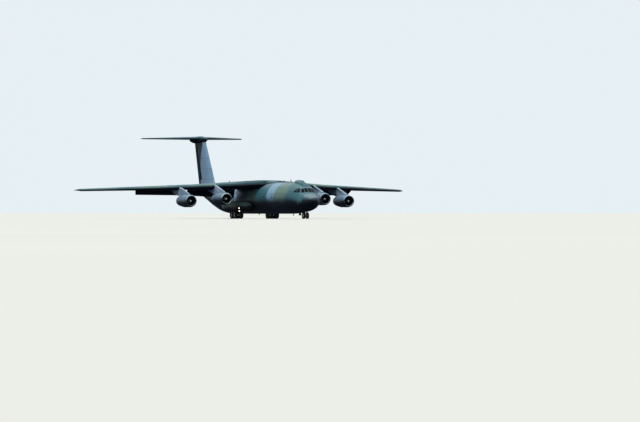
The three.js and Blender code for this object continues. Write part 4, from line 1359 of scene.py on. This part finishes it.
# profiles: distance aft of the inlet's front, radius
LIP = [(150, 806), (70, 780), (22, 742), (0, 700), (14, 678), (60, 665), (175, 659), (175, 668)]
LIP += [(90, 690), (90, 760)]
COWL_OUTSIDE = [(150, 806), (450, 855), (1500, 880), (2600, 868), (3600, 790), (4650, 640)]
LINING = [(175, 659), (300, 655), (520, 690), (900, 740), (2600, 740), (3600, 715), (4650, 605)]
SPINNER = [(180, 0), (194, 42), (235, 95), (370, 170), (700, 245), (1160, 290)]
CORE_CASING = [(1500, 330), (1850, 395), (2300, 470), (3000, 498), (3600, 500), (4300, 455), (4850, 400)]
CORE_INSIDE = [(4850, 372), (4600, 385), (4300, 400), (4300, 0)]
PLUG = [(4300, 0), (4300, 250), (4700, 262), (4850, 235), (5050, 120), (5160, 40), (5200, 0)]
print("engines:", 2 * len(ENGINES))

# %% [markdown]
# Every blade in an engine is a lens-shaped section that is drawn along a radius, wide or narrow, flat or
# twisted. One blade is skinned over a few such sections, and its copies are spun round the axis.

# %% Rings and blades
def hollow(name, outside, inside, centre):
    """A ring-shaped body between an outer and an inner line."""
    return turned(name, outside + inside[::-1], centre, AFT, 56, closed=True)


def blade(name, rows, centre, around=12):
    """A blade that points up. Rows: radius, chord, thickness and the angle of the chord to the axis."""
    rings = []
    for radius, chord, thick, degrees in rows:
        lean = math.radians(degrees)
        ring = []
        for i in range(around):
            angle = 2 * math.pi * i / around
            along, over = chord / 2 * math.cos(angle), thick / 2 * math.sin(angle)
            aft = along * math.cos(lean) - over * math.sin(lean)
            side = along * math.sin(lean) + over * math.cos(lean)
            ring.append(centre + Vector((-mm(aft), mm(side), mm(radius))))
        rings.append(ring)
    return skin_over(name, rings)


print("widest part of the cowl in metres:", 2 * mm(max(radius for _, radius in COWL_OUTSIDE)))

# %% Cowl, lip and lining
COWL_SKIN = 9
LINING_SKIN = 8
BAND = {"places": (640, 2720), "length": 46, "proud": 876, "sunk": 846}


def make_cowl(name, centre):
    outside = smoothed(COWL_OUTSIDE)
    inside = [(aft, radius - COWL_SKIN) for aft, radius in outside]
    skin = hollow(f"cowl_skin_{name}", outside, inside, centre)
    pair(skin, cowl_paint, "airframe", f"cowl_{name}_{{side}}")
    lip = turned(f"inlet_lip_{name}", smoothed(LIP, 3), centre, AFT, 56, closed=True)
    pair(lip, lip_paint, "airframe")
    lining = smoothed(LINING)
    wall = [(aft, radius + LINING_SKIN) for aft, radius in lining]
    pair(hollow(f"cowl_lining_{name}", wall, lining, centre), lining_paint, "airframe")
    bands = []
    for aft in BAND["places"]:
        end = aft + BAND["length"]
        outer = [(aft, BAND["proud"]), (end, BAND["proud"])]
        inner = [(aft, BAND["sunk"]), (end, BAND["sunk"])]
        bands.append(hollow(f"band_{aft}", outer, inner, centre))
    pair(joined(bands, f"cowl_bands_{name}"), cowl_paint, "airframe")


print("bands round each cowl:", len(BAND["places"]))

# %% Spinner, vanes and fan
FAN_HUB = [(1182, 0), (1182, 296), (1260, 304), (1498, 318), (1498, 0)]
FAN_ROWS = [(290, 190, 36, 22), (420, 210, 26, 34), (560, 228, 17, 46), (712, 236, 10, 55)]
FAN_PLACE, FAN_BLADES = 1340, 22
VANE_ROWS = [(250, 150, 22, 0), (480, 150, 20, 0), (742, 150, 18, 0)]
VANE_PLACE, VANES = 1000, 18


def make_intake(name, centre):
    spinner = turned(f"spinner_{name}", smoothed(SPINNER, 3) + [(1160, 0)], centre, AFT, 40)
    pair(spinner, spinner_metal, "airframe")
    vane_place = centre + AFT * mm(VANE_PLACE)
    vane = blade(f"vane_{name}", VANE_ROWS, vane_place)
    vanes = spun_copies(vane, VANES, vane_place, f"guide_vanes_{name}")
    pair(vanes, lining_paint, "airframe")
    fan_place = centre + AFT * mm(FAN_PLACE)
    hub = turned(f"fan_hub_{name}", FAN_HUB, centre, AFT, 40)
    fan_blade = blade(f"fan_blade_{name}", FAN_ROWS, fan_place)
    blades = spun_copies(fan_blade, FAN_BLADES, fan_place, f"fan_blades_{name}")
    fan = joined([hub, blades], f"fan_wheel_{name}")
    pair(fan, fan_metal, f"fan_{name}_{{side}}", f"fan_{name}_{{side}}")


print("blades of a fan and vanes before it:", FAN_BLADES, VANES)

# %% Core, struts and nozzle
STRUT_ROWS = [(430, 600, 46, 0), (600, 600, 44, 0), (738, 600, 42, 0)]
STRUT_PLACE = 2800


def make_core(name, centre):
    profile = [(1500, 0), *smoothed(CORE_CASING), *CORE_INSIDE]
    casing = turned(f"core_casing_{name}", profile, centre, AFT, 48)
    pair(casing, hot_metal, "airframe", f"engine_{name}_{{side}}")
    pair(turned(f"nozzle_plug_{name}", PLUG, centre, AFT, 40), hot_metal, "airframe")
    strut_place = centre + AFT * mm(STRUT_PLACE)
    strut = blade(f"strut_{name}", STRUT_ROWS, strut_place)
    there, back_again = Matrix.Translation(strut_place), Matrix.Translation(-strut_place)
    strut.matrix_world = there @ Matrix.Rotation(math.pi / 4, 4, AFT) @ back_again
    struts = spun_copies(settle(strut), 4, strut_place, f"core_struts_{name}")
    pair(struts, bare_metal, "airframe")


for name, station, y, z in ENGINES:
    middle = at(station, y, z)
    make_cowl(name, middle)
    make_intake(name, middle)
    make_core(name, middle)
    for side in SIDES:
        smooth_copy(f"pylon_{name}_{side}", pylon_paint, "airframe", angle=36)

# %% [markdown]
# ## Landing gear
#
# Each main leg carries a bogie of four tyres inside a pod on the fuselage's side. The pod is a blister with
# a blunt nose, open underneath where the wheels hang out. Its well is primed in dull green and has ribs.

# %% Gear pods
POD = [
    # station, middle, half width, bottom, top
    (19450, 2250, 450, 1250, 1850),
    (19650, 2260, 850, 1060, 2120),
    (20300, 2280, 1200, 930, 2350),
    (21600, 2290, 1350, 880, 2450),
    (25800, 2290, 1350, 880, 2450),
    (28200, 2180, 980, 1060, 2350),
    (30400, 2060, 220, 1500, 2100),
]
POD_STATIONS = [19450, 19480, 19530, 19600, 19700, 19850, 20050, 20300, 20700, 21150, 21600, 23000]
POD_STATIONS += [24400, 25800, 26300, 26900, 27500, 28200, 28900, 29500, 30000, 30400]
WELL = ((22650, 24350), (2420, 2920), (0, 1760))
WHEEL_WELL = ((22180, 24820), (1970, 3380), (0, 1200))

pod_rings = []
for station in POD_STATIONS:
    _, middle, wide, bottom, top = smooth_row(POD, station)
    pod_rings.append(oval(station, middle, (top + bottom) / 2, wide, (top - bottom) / 2, 64, 0.8))
pod = cut(skin_over("gear_pod_skin", pod_rings), hull_body("pod_bed", -1))
cut(pod, box_tool(*WELL))
cut(pod, box_tool(*WHEEL_WELL))
pair(pod, pod_paint, "airframe", "gear_pod_{side}")
print("pod faces:", len(pod.data.polygons))

# %% Well liner and ribs
LINER = 12
LINER_FOOT = 950
RIB_HEIGHTS = (1130, 1199)
RIB_SPANS = {"rib": (1985, 2400), "rib_outer": (2935, 3365)}
(front, end), (inner, outer), (_, roof) = WELL
liner = named(box_tool((front, end), (inner, outer), (LINER_FOOT, roof)), "well_liner")
space = box_tool((front + LINER, end - LINER), (inner + LINER, outer - LINER), (0, roof - LINER))
pair(cut(liner, space), primer, "airframe")
ribs = []
for i, station in enumerate(spread(22420, 24580, 7)):
    for stem, (near, far) in RIB_SPANS.items():
        foot, head = at(station + 20, near, RIB_HEIGHTS[0]), at(station - 20, far, RIB_HEIGHTS[1])
        ribs.append(bar(f"{stem}_{i}", foot, head, 0.002))
print("ribs in each well:", len(ribs))
pair(joined(ribs, "well_ribs"), primer, "airframe")

# %% [markdown]
# The landing lamps sit in the pods' noses, each in a short round housing that runs back into the blister.

# %% Landing lamps on the pods
LANDING_LAMPS = {
    # station, distance from the middle, height
    "lamp_upper": (20250, 3470, 1480),
    "lamp_lower": (20600, 3320, 1090),
}
LAMP_DISH = [(-20, 0), (-20, 100), (24, 100), (52, 72), (64, 0)]
LAMP_HOUSING = smoothed([(-10, 104), (60, 116), (300, 104), (620, 40), (700, 6)], 3)
for stem, place in LANDING_LAMPS.items():
    housing = turned(f"{stem}_housing", [(-10, 0), *LAMP_HOUSING, (700, 0)], at(*place), AFT, 28)
    pair(housing, pod_paint, "airframe")
    pair(turned(stem, LAMP_DISH, at(*place), -AFT, 28), landing_lamp, "airframe")
intake = bar("pod_intake", at(20700, 3420, 1850), at(20250, 3330, 2050), 0.006)
pair(intake, lining_paint, "airframe")
print("landing lamps:", 2 * len(LANDING_LAMPS))

# %% [markdown]
# ### Tyres and wheels
#
# A tyre's section has a bead, a bulging wall, a shoulder and a tread with four grooves. The wheel in it has
# a deep dish with lightening holes. One of each is turned, and the others are copies.

# %% Tyre and wheel sections
# distance from the middle in half widths, radius in tyre radii
TYRE_SIDE = [(0.62, 0.585), (0.82, 0.60), (0.95, 0.67), (1.0, 0.77)]
TYRE_SIDE += [(0.975, 0.87), (0.88, 0.95), (0.74, 0.988)]
TREAD_GROOVES = (-0.45, -0.15, 0.15, 0.45)
GROOVE = ((-0.05, 1.0), (-0.036, 0.974), (0.036, 0.974), (0.05, 1.0))
RIM = [(0.60, 0.582), (0.60, 0.545), (0.44, 0.52), (0.17, 0.49)]
RIM += [(0.13, 0.30), (0.30, 0.25), (0.34, 0.14), (0.40, 0.12)]
HOLES = {"count": 9, "ring": 0.395, "radius": 0.062}
THROUGH = (-400, 400)


def tyre_section(radius, half):
    tread = [(groove + shift, level) for groove in TREAD_GROOVES for shift, level in GROOVE]
    outline = [(-a, r) for a, r in TYRE_SIDE] + tread + [(a, r) for a, r in reversed(TYRE_SIDE)]
    return [(a * half, r * radius) for a, r in outline]


def rim_section(radius, half):
    near = [(a * half, r * radius) for a, r in RIM]
    return [(near[-1][0], 0)] + near[::-1] + [(-a, r) for a, r in near] + [(-near[-1][0], 0)]


def wheel_holes(radius, centre):
    middle = centre + UP * mm(HOLES["ring"] * radius)
    hole = rod("hole", middle, LEFT, THROUGH, HOLES["radius"] * radius, 14)
    return spun_copies(hole, HOLES["count"], centre, "holes", LEFT)


print("points round a tyre's section:", len(tyre_section(1, 1)))
print("a bore reaches this far each way, in metres:", mm(THROUGH[1]))

# %% A pair of wheels on an axle
AXLE_NUT = {"reach": 0.3, "radius": 0.7, "length": 30}


def wheel_pair(name, centre, radius, width, track, axle):
    """Two tyres and two wheels on one axle, as separate tyre and metal pieces."""
    tyres, rims = [], []
    for sign in SIDES.values():
        middle = centre + LEFT * (sign * mm(track))
        tyre = turned(f"tyre_{sign}", tyre_section(radius, width / 2), middle, LEFT, 64, closed=True)
        rim = turned(f"rim_{sign}", rim_section(radius, width / 2), middle, LEFT, 48)
        tyres.append(tyre)
        rims.append(cut(rim, wheel_holes(radius, middle)))
    end, nut = track + width * AXLE_NUT["reach"], axle * AXLE_NUT["radius"]
    shoulder = end - AXLE_NUT["length"]
    profile = [(-end, 0), (-end, nut), (-shoulder, axle), (shoulder, axle), (end, nut), (end, 0)]
    shaft = turned("shaft", profile, centre, LEFT, 24)
    return joined(tyres, f"{name}_tyres"), joined([*rims, shaft], f"{name}_rims")


print("the nut is this share of the axle's radius:", AXLE_NUT["radius"])

# %% Main wheels
MAIN_GEAR = {
    "station": 23500, "y": 2670, "radius": 560, "width": 400, "track": 430, "axle": 75, "spread": 620
}


def wheel_sizes(gear):
    return [gear[key] for key in ("radius", "width", "track", "axle")]


front_centre = at(MAIN_GEAR["station"] - MAIN_GEAR["spread"], MAIN_GEAR["y"], MAIN_GEAR["radius"])
front_pair = wheel_pair("main_front", front_centre, *wheel_sizes(MAIN_GEAR))
shift = AFT * mm(2 * MAIN_GEAR["spread"])
rear_pair = [raised(twin(piece, piece.name.replace("front", "rear")), shift) for piece in front_pair]
for place, (rubber, metal) in (("front", front_pair), ("rear", rear_pair)):
    body = f"main_wheels_{place}_{{side}}"
    pair(rubber, tyre_rubber, body, body)
    pair(metal, hub_paint, body)
print("faces of a pair of main tyres:", len(front_pair[0].data.polygons))

# %% [markdown]
# ### Main legs
#
# A thick cylinder comes down from the pod's roof and a chromed oleo slides in it. The bogie beam hinges at
# its foot, with links behind to stop it from turning. Brake rods run below it and brake pipes down the leg.

# %% Main legs
def on_leg(ahead, z, aside=0):
    return at(MAIN_GEAR["station"] - ahead, MAIN_GEAR["y"] + aside, z)


CYLINDER = [(980, 0), (980, 140), (1000, 165), (1060, 165), (1075, 150), (1300, 150), (1320, 168)]
CYLINDER += [(1380, 168), (1400, 150), (1640, 150), (1700, 172), (1758, 172), (1758, 0)]
FOOT = [(560, 0), (560, 150), (700, 150), (740, 128), (760, 0)]
cylinder = turned("leg_cylinder", CYLINDER, on_leg(0, 0), UP, 40)
beam = bar("bogie_beam", on_leg(-755, 445, -118), on_leg(755, 675, 118), 0.022)
foot = turned("leg_foot", FOOT, on_leg(0, 0), UP, 32)
brace = pipe("drag_brace", [on_leg(545, 1735), on_leg(60, 930)], 58, 20)
knuckle = rod("brace_end", on_leg(50, 960), LEFT, (-110, 110), 80)
leg = joined([cylinder, beam, foot, brace, knuckle], "main_leg_metal")
for sign in SIDES.values():
    axle_place = on_leg(sign * MAIN_GEAR["spread"], MAIN_GEAR["radius"])
    cut(leg, rod("axle_bore", axle_place, LEFT, THROUGH, MAIN_GEAR["axle"] + 2, 32))
pair(leg, gear_paint, "airframe", "main_leg_{side}", angle=36)
pair(rod("main_oleo", on_leg(0, 0), UP, (690, 1000), 112, 40), oleo_chrome, "airframe")
print("main leg faces:", len(leg.data.polygons))

# %% [markdown]
# Torque links are two arms with a pin at the knee. They fold as the oleo slides, and hold the wheels
# straight. The nose gear has the same pair in small, so one function makes both.

# %% Links, rods and brake pipes
def torque_links(place, top, knee, bottom, half_width, radius):
    """Two upper and two lower arms. The ends are given as their distance ahead of the leg and height."""
    arms = []
    for aside in (-half_width, half_width):
        joint = place(*knee, aside)
        arms.append(pipe(f"link_up_{aside}", [place(*top, aside), joint], radius))
        arms.append(pipe(f"link_down_{aside}", [joint, place(*bottom, aside)], radius))
    return arms


KNEE = (-325, 785)
links = torque_links(on_leg, (-120, 1010), KNEE, (-200, 640), 70, 30)
links.append(rod("link_pin", on_leg(*KNEE), LEFT, (-95, 95), 36, 16))
rods = [pipe(f"brake_rod_{s}", [on_leg(-560, 400, s), on_leg(560, 400, s)], 20, 10) for s in (-90, 90)]
rods += [pipe(f"rod_hanger_{a}", [on_leg(a, 400), on_leg(a, 470)], 40) for a in (-380, 380)]
pair(joined([*links, *rods], "main_links"), gear_paint, "airframe")
PIPE_RUNS = [
    # points from the leg's roof down: ahead of the leg, height, outboard of it
    [(150, 1640, 60), (178, 1300, 70), (200, 1000, 80), (250, 800, 90), (380, 690, 80)],
    [(-140, 1640, 60), (-176, 1400, 60), (-190, 1150, 80), (-300, 900, 105), (-420, 690, 80)],
]
brake_pipes = []
for i, run in enumerate(PIPE_RUNS):
    brake_pipes.append(pipe(f"run_{i}", [on_leg(*point) for point in run], 15, 8))
print("brake pipes on each leg:", len(brake_pipes))
pair(joined(brake_pipes, "brake_pipes"), bare_metal, "airframe")

# %% [markdown]
# ### Nose gear
#
# The upper leg is fixed, with a drag brace behind it and a taxi lamp in front. The lower leg turns in it to
# steer, and carries two small wheels.

# %% Nose leg
NOSE_GEAR = {"station": 3300, "radius": 457, "width": 280, "track": 260, "axle": 60}


def on_nose(ahead, z, aside=0):
    return at(NOSE_GEAR["station"] - ahead, aside, z)


NOSE_UPPER = [(1012, 0), (1012, 108), (1030, 116), (1090, 116), (1105, 98), (1400, 98), (1420, 114)]
NOSE_UPPER += [(1480, 114), (1495, 98), (1740, 98), (1760, 118), (1798, 118), (1798, 0)]
BRACE_FOOT, BRACE_HEAD = (-40, 1160), (-860, 1720)
TAXI_LAMP = [(0, 0), (0, 50), (60, 78), (95, 78), (110, 50), (114, 0)]
parts = [turned("nose_upper", NOSE_UPPER, on_nose(0, 0), UP, 36)]
for aside in (-50, 50):
    path = [on_nose(*BRACE_FOOT, aside), on_nose(*BRACE_HEAD, aside * 2)]
    parts.append(pipe(f"nose_brace_{aside}", path, 38, 16))
parts.append(rod("brace_cross", on_nose(*BRACE_HEAD), LEFT, (-150, 150), 44, 20))
parts.append(rod("brace_fork", on_nose(*BRACE_FOOT), LEFT, (-90, 90), 60, 20))
print("parts of the nose leg:", len(parts))
finished(joined(parts, "nose_leg_metal"), gear_paint, "airframe", "nose_leg", angle=36)
finished(turned("taxi_lamp", TAXI_LAMP, on_nose(100, 1290), -AFT, 28), clear_lens, "airframe")

# %% Steered part and nose wheels
COLLAR = [(925, 0), (925, 112), (940, 121), (1000, 121), (1008, 112), (1008, 0)]
NOSE_KNEE = (250, 760)
axle_place = on_nose(0, NOSE_GEAR["radius"])
collar = turned("nose_collar", COLLAR, on_nose(0, 0), UP, 36)
axle_block = bar("nose_axle_block", on_nose(-92, 372, -96), on_nose(92, 560, 96), 0.016)
links = torque_links(on_nose, (90, 945), NOSE_KNEE, (70, 530), 38, 20)
links.append(rod("nose_link_pin", on_nose(*NOSE_KNEE), LEFT, (-60, 60), 26, 16))
steered = joined([collar, axle_block, *links], "nose_steering_metal")
cut(steered, rod("nose_bore", axle_place, LEFT, THROUGH, NOSE_GEAR["axle"] + 2, 32))
finished(steered, gear_paint, "nose_steering", "nose_steering", angle=36)
nose_oleo = rod("nose_oleo", on_nose(0, 0), UP, (540, 930), 76, 36)
finished(nose_oleo, oleo_chrome, "nose_steering")
nose_tyres, nose_rims = wheel_pair("nose", axle_place, *wheel_sizes(NOSE_GEAR))
finished(nose_tyres, tyre_rubber, "nose_wheels", "nose_wheels")
finished(nose_rims, hub_paint, "nose_wheels")
print("faces of the nose tyres:", len(nose_tyres.data.polygons))

# %% [markdown]
# ## Inside
#
# What shows through the windscreen and the open doors is finished too: two pilots' seats with a console
# between them, the instrument panel under its hood, and the hold with its ring frames and roller tracks.

# %% [markdown]
# A cushion is crowned: its faces bulge in the middle, and its sides pull in between the corners. Here that
# is worked out for each point of a finely divided block, because the seats show only through dark glass.

# %% Seat cushions
DECK_TOP = 2440
CROWN = 0.012
PULLED_IN = 0.6
SEAT_PADS = {
    # rear and front corner: station, distance from the middle, height above the deck
    "seat_base": ((3560, 230, 385), (3070, 730, 495)),
    "seat_back": ((3635, 240, 480), (3530, 720, 1000)),
    "seat_headrest": ((3630, 370, 1030), (3540, 590, 1175)),
}


def on_deck(station, y, z):
    return at(station, y, DECK_TOP + z)


def divide():
    bpy.ops.mesh.subdivide(number_cuts=5)


def cushion(name, low, high):
    pad = edited(bar(name, low, high, 0.006), divide)
    middle, half = (low + high) / 2, (high - low) / 2
    for vertex in pad.data.vertices:
        part = [(vertex.co[i] - middle[i]) / abs(half[i]) for i in range(3)]
        room = [1 - min(1, share**2) for share in part]
        for i in range(3):
            swell = room[(i + 1) % 3] * room[(i + 2) % 3]
            vertex.co[i] += part[i] * (CROWN * swell - CROWN * PULLED_IN)
    return modified(pad, "SUBSURF", levels=1, render_levels=1)


for name, (rear_corner, front_corner) in SEAT_PADS.items():
    pad = cushion(name, on_deck(*rear_corner), on_deck(*front_corner))
    for half in pair(pad, seat_cloth, "airframe").values():
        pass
print("faces of a cushion:", len(pad.data.polygons))

# %% Seat frames
seat_frame = [
    bar("seat_pan", on_deck(3600, 250, 350), on_deck(3080, 710, 384), 0.004),
    bar("seat_pedestal", on_deck(3480, 360, 4), on_deck(3180, 600, 352), 0.006),
    bar("seat_spine", on_deck(3690, 300, 360), on_deck(3640, 660, 1140), 0.004),
    pipe("arm_rest", [on_deck(3650, 745, 640), on_deck(3250, 745, 640)], 24),
    pipe("arm_rest_inner", [on_deck(3650, 215, 640), on_deck(3250, 215, 640)], 24),
]
print("parts of a seat's frame:", len(seat_frame))
pair(joined(seat_frame, "seat_frame"), cabin_paint, "airframe")

# %% [markdown]
# The controls are a column with a yoke for each pilot, a console between the seats with its levers, and a
# board with two rows of dials under a hood that keeps the sun off them.

# %% Control columns
SEAT_MIDDLE = 480
YOKE = {"station": 2770, "wide": 150, "tall": 90, "height": 690}
COLUMN = [(2620, 5), (2700, 350), (2760, 640)]
column = pipe("column", [on_deck(station, SEAT_MIDDLE, z) for station, z in COLUMN], 28)
yoke_ring = []
for a in spread(math.pi * 0.9, math.pi * 2.1, 15):
    y, z = SEAT_MIDDLE + YOKE["wide"] * math.cos(a), YOKE["height"] + YOKE["tall"] * math.sin(a)
    yoke_ring.append(on_deck(YOKE["station"], y, z))
yoke = pipe("yoke", yoke_ring, 16, 10)
print("points along a yoke:", len(yoke_ring))
pair(joined([column, yoke], "control_column"), panel_paint, "airframe")

# %% Instrument panel and console
console_parts = [
    bar("console_box", on_deck(3700, -185, 4), on_deck(2350, 185, 520), 0.008),
    bar("panel_board", on_deck(2340, -895, 4), on_deck(2185, 895, 860), 0.008),
    bar("panel_hood", on_deck(2620, -895, 865), on_deck(2185, 895, 955), 0.01),
]
finished(joined(console_parts, "cockpit_console"), panel_paint, "airframe", "cockpit_fittings")
DIAL = [(0, 0), (0, 52), (14, 52), (18, 44), (12, 0)]
dial = turned("dial", DIAL, on_deck(2340, 0, 0), AFT, 20)
dials = []
for i, y in enumerate(spread(-770, 770, 12)):
    for j, z in enumerate((640, 770)):
        dials.append(raised(twin(dial, f"dial_{i}_{j}"), Vector((0, mm(y), mm(z)))))
bpy.data.objects.remove(dial)
finished(joined(dials, "panel_dials"), dial_glass, "airframe")
LEVER = [(2900, 515), (2860, 600), (2840, 640)]
levers = []
for y in (-120, -75, -30, 30, 75, 120):
    levers.append(pipe(f"lever_{y}", [on_deck(station, y, z) for station, z in LEVER], 14, 10))
print("dials and levers:", len(dials), len(levers))
finished(joined(levers, "throttle_levers"), bare_metal, "airframe")

# %% [markdown]
# The hold's floor has four tracks of rollers, on which pallets slide. One roller is turned and copied, each
# copy with few faces, since there are hundreds. Ring frames stiffen the wall every metre.

# %% Floor tracks and rollers
TRACKS = (-1100, -420, 420, 1100)
RAIL = {"apart": 75, "half": 12, "foot": 1401, "head": 1450, "stations": (7600, 31800)}
ROLLER = {"station": 7900, "height": 1440, "radius": 26, "half": 60, "pitch": 400, "count": 60}
smooth_copy("hold_floor", floor_metal, "airframe")
smooth_copy("flight_deck", cabin_paint, "airframe")
rails = []
for y in TRACKS:
    for edge in (-RAIL["apart"], RAIL["apart"]):
        low = at(RAIL["stations"][1], y + edge - RAIL["half"], RAIL["foot"])
        high = at(RAIL["stations"][0], y + edge + RAIL["half"], RAIL["head"])
        rails.append(bar(f"rail_{y}_{edge}", low, high, 0.002))
finished(joined(rails, "roller_tracks"), floor_metal, "airframe")
ends = (-ROLLER["half"], ROLLER["half"])
roller = rod("roller", at(ROLLER["station"], 0, ROLLER["height"]), LEFT, ends, ROLLER["radius"], 12)
rollers = []
for y in TRACKS:
    for i in range(ROLLER["count"]):
        shift = Vector((-mm(ROLLER["pitch"] * i), mm(y), 0))
        rollers.append(raised(twin(roller, f"roller_{y}_{i}"), shift))
bpy.data.objects.remove(roller)
print("rollers:", len(rollers))
finished(joined(rollers, "floor_rollers"), roller_metal, "airframe")

# %% Ring frames in the hold
RING_FRAME = {"half": 22, "outer": 90, "inner": 165}
ring_frames = []
for i, station in enumerate(spread(8100, 31200, 24)):
    front, back = station - RING_FRAME["half"], station + RING_FRAME["half"]
    outer, inner = RING_FRAME["outer"], RING_FRAME["inner"]
    sides = ((front, outer), (front, inner), (back, inner), (back, outer))
    rings = [hull_ring(s, inset, 56) for s, inset in sides]
    ring_frames.append(skin_over(f"ring_frame_{i}", rings, closed=True))
print("ring frames:", len(ring_frames))
finished(joined(ring_frames, "hold_frames"), primer, "airframe")
for scrap in (hull_solid, hull_shell):
    bpy.data.objects.remove(scrap)

# %% [markdown]
# ## Floor, light and camera
#
# A broad pale floor and a pale sky stand for the studio. Little light comes back up from the floor, so the
# undersides stay dark: the floor is left out of what the aircraft's paint reflects.

# %% Floor
FLOOR_SIZE = 3000
deselect()
bpy.ops.mesh.primitive_plane_add(size=FLOOR_SIZE, location=(0, 0, 0))
studio_floor = named(bpy.context.object, "studio_floor")
floor_finish = Finish("studio_floor_paint", roughness=0.9, Specular_IOR_Level=0.1)
floor_cloud = floor_finish.noise(floor_finish.place(), 0.05, 2.0, 0.5)
floor_colour = floor_finish.mix(floor_cloud, (0.60, 0.585, 0.545, 1), (0.64, 0.625, 0.585, 1))
floor_finish.feed("Base Color", floor_colour)
studio_floor.data.materials.append(floor_finish.material)
studio_floor.visible_diffuse = False
studio_floor.visible_glossy = False
print("floor finish:", floor_finish.material.name)

# %% Sky
HORIZON = (-0.06, -0.01)
world = bpy.data.worlds.new("studio_sky")
bpy.context.scene.world = world
world.use_nodes = True
sky = Wiring(world.node_tree)
height = sky.split(sky.node("ShaderNodeTexCoord", output="Generated"))[2]
sky_colour = sky.mix(sky.step(height, *HORIZON), (0.045, 0.055, 0.08, 1), (0.80, 0.87, 0.91, 1))
background = world.node_tree.nodes["Background"]
world.node_tree.links.new(sky_colour.socket, background.inputs["Color"])
background.inputs["Strength"].default_value = 1.0
bpy.context.scene.view_settings.view_transform = "Standard"
print("sky:", world.name)

# %% [markdown]
# One high lamp plays the noon sun, on the side of the aircraft that the camera sees. A sun lamp has a
# direction and no place, and the wider it is, the softer its shadows are.

# %% The sun
SUN = {"azimuth": -62, "elevation": 57, "strength": 2.1, "width": 8, "colour": (1.0, 0.97, 0.92)}
azimuth, elevation = math.radians(SUN["azimuth"]), math.radians(SUN["elevation"])
flat = math.cos(elevation)
towards = Vector((math.cos(azimuth) * flat, math.sin(azimuth) * flat, math.sin(elevation)))
bpy.ops.object.light_add(type="SUN")
noon_sun = bpy.context.object
noon_sun.name = "noon_sun"
noon_sun.rotation_mode = "QUATERNION"
noon_sun.rotation_quaternion = towards.to_track_quat("Z", "Y")
noon_sun.data.energy = SUN["strength"]
noon_sun.data.angle = math.radians(SUN["width"])
noon_sun.data.color = SUN["colour"]
print("the sun stands towards", [round(v, 2) for v in towards])

# %% [markdown]
# The camera stands at floor level, far away with a long lens, some twenty degrees off the nose. The lens
# is given in pixels of the picture, and turned into millimetres for a sensor of a known width.

# %% Camera
SENSOR = 36
PICTURE_WIDTH = 640
LENS_PIXELS = 4356
CAMERA = {"azimuth": 20.13, "height": 0.45, "distance": 306.0, "aim_right": 4.52, "aim_down": 1.46}
focus = at(23000, 0, 4000)
rise = math.asin((CAMERA["height"] - focus.z) / CAMERA["distance"])
turn = math.radians(CAMERA["azimuth"])
back = Vector((math.cos(turn) * math.cos(rise), -math.sin(turn) * math.cos(rise), math.sin(rise)))
right = Vector((math.sin(turn), math.cos(turn), 0))
eye = focus + back * CAMERA["distance"]
aim = focus + right * CAMERA["aim_right"] - UP * CAMERA["aim_down"]
camera_data = bpy.data.cameras.new("camera")
camera_data.sensor_width = SENSOR
camera_data.lens = LENS_PIXELS * SENSOR / PICTURE_WIDTH
camera_data.clip_start = 1
camera_data.clip_end = 5000
camera = bpy.data.objects.new("camera", camera_data)
bpy.context.scene.collection.objects.link(camera)
camera.location = eye
camera.rotation_mode = "QUATERNION"
camera.rotation_quaternion = (eye - aim).to_track_quat("Z", "Y")
bpy.context.scene.camera = camera
print("camera at", [round(v, 2) for v in eye])
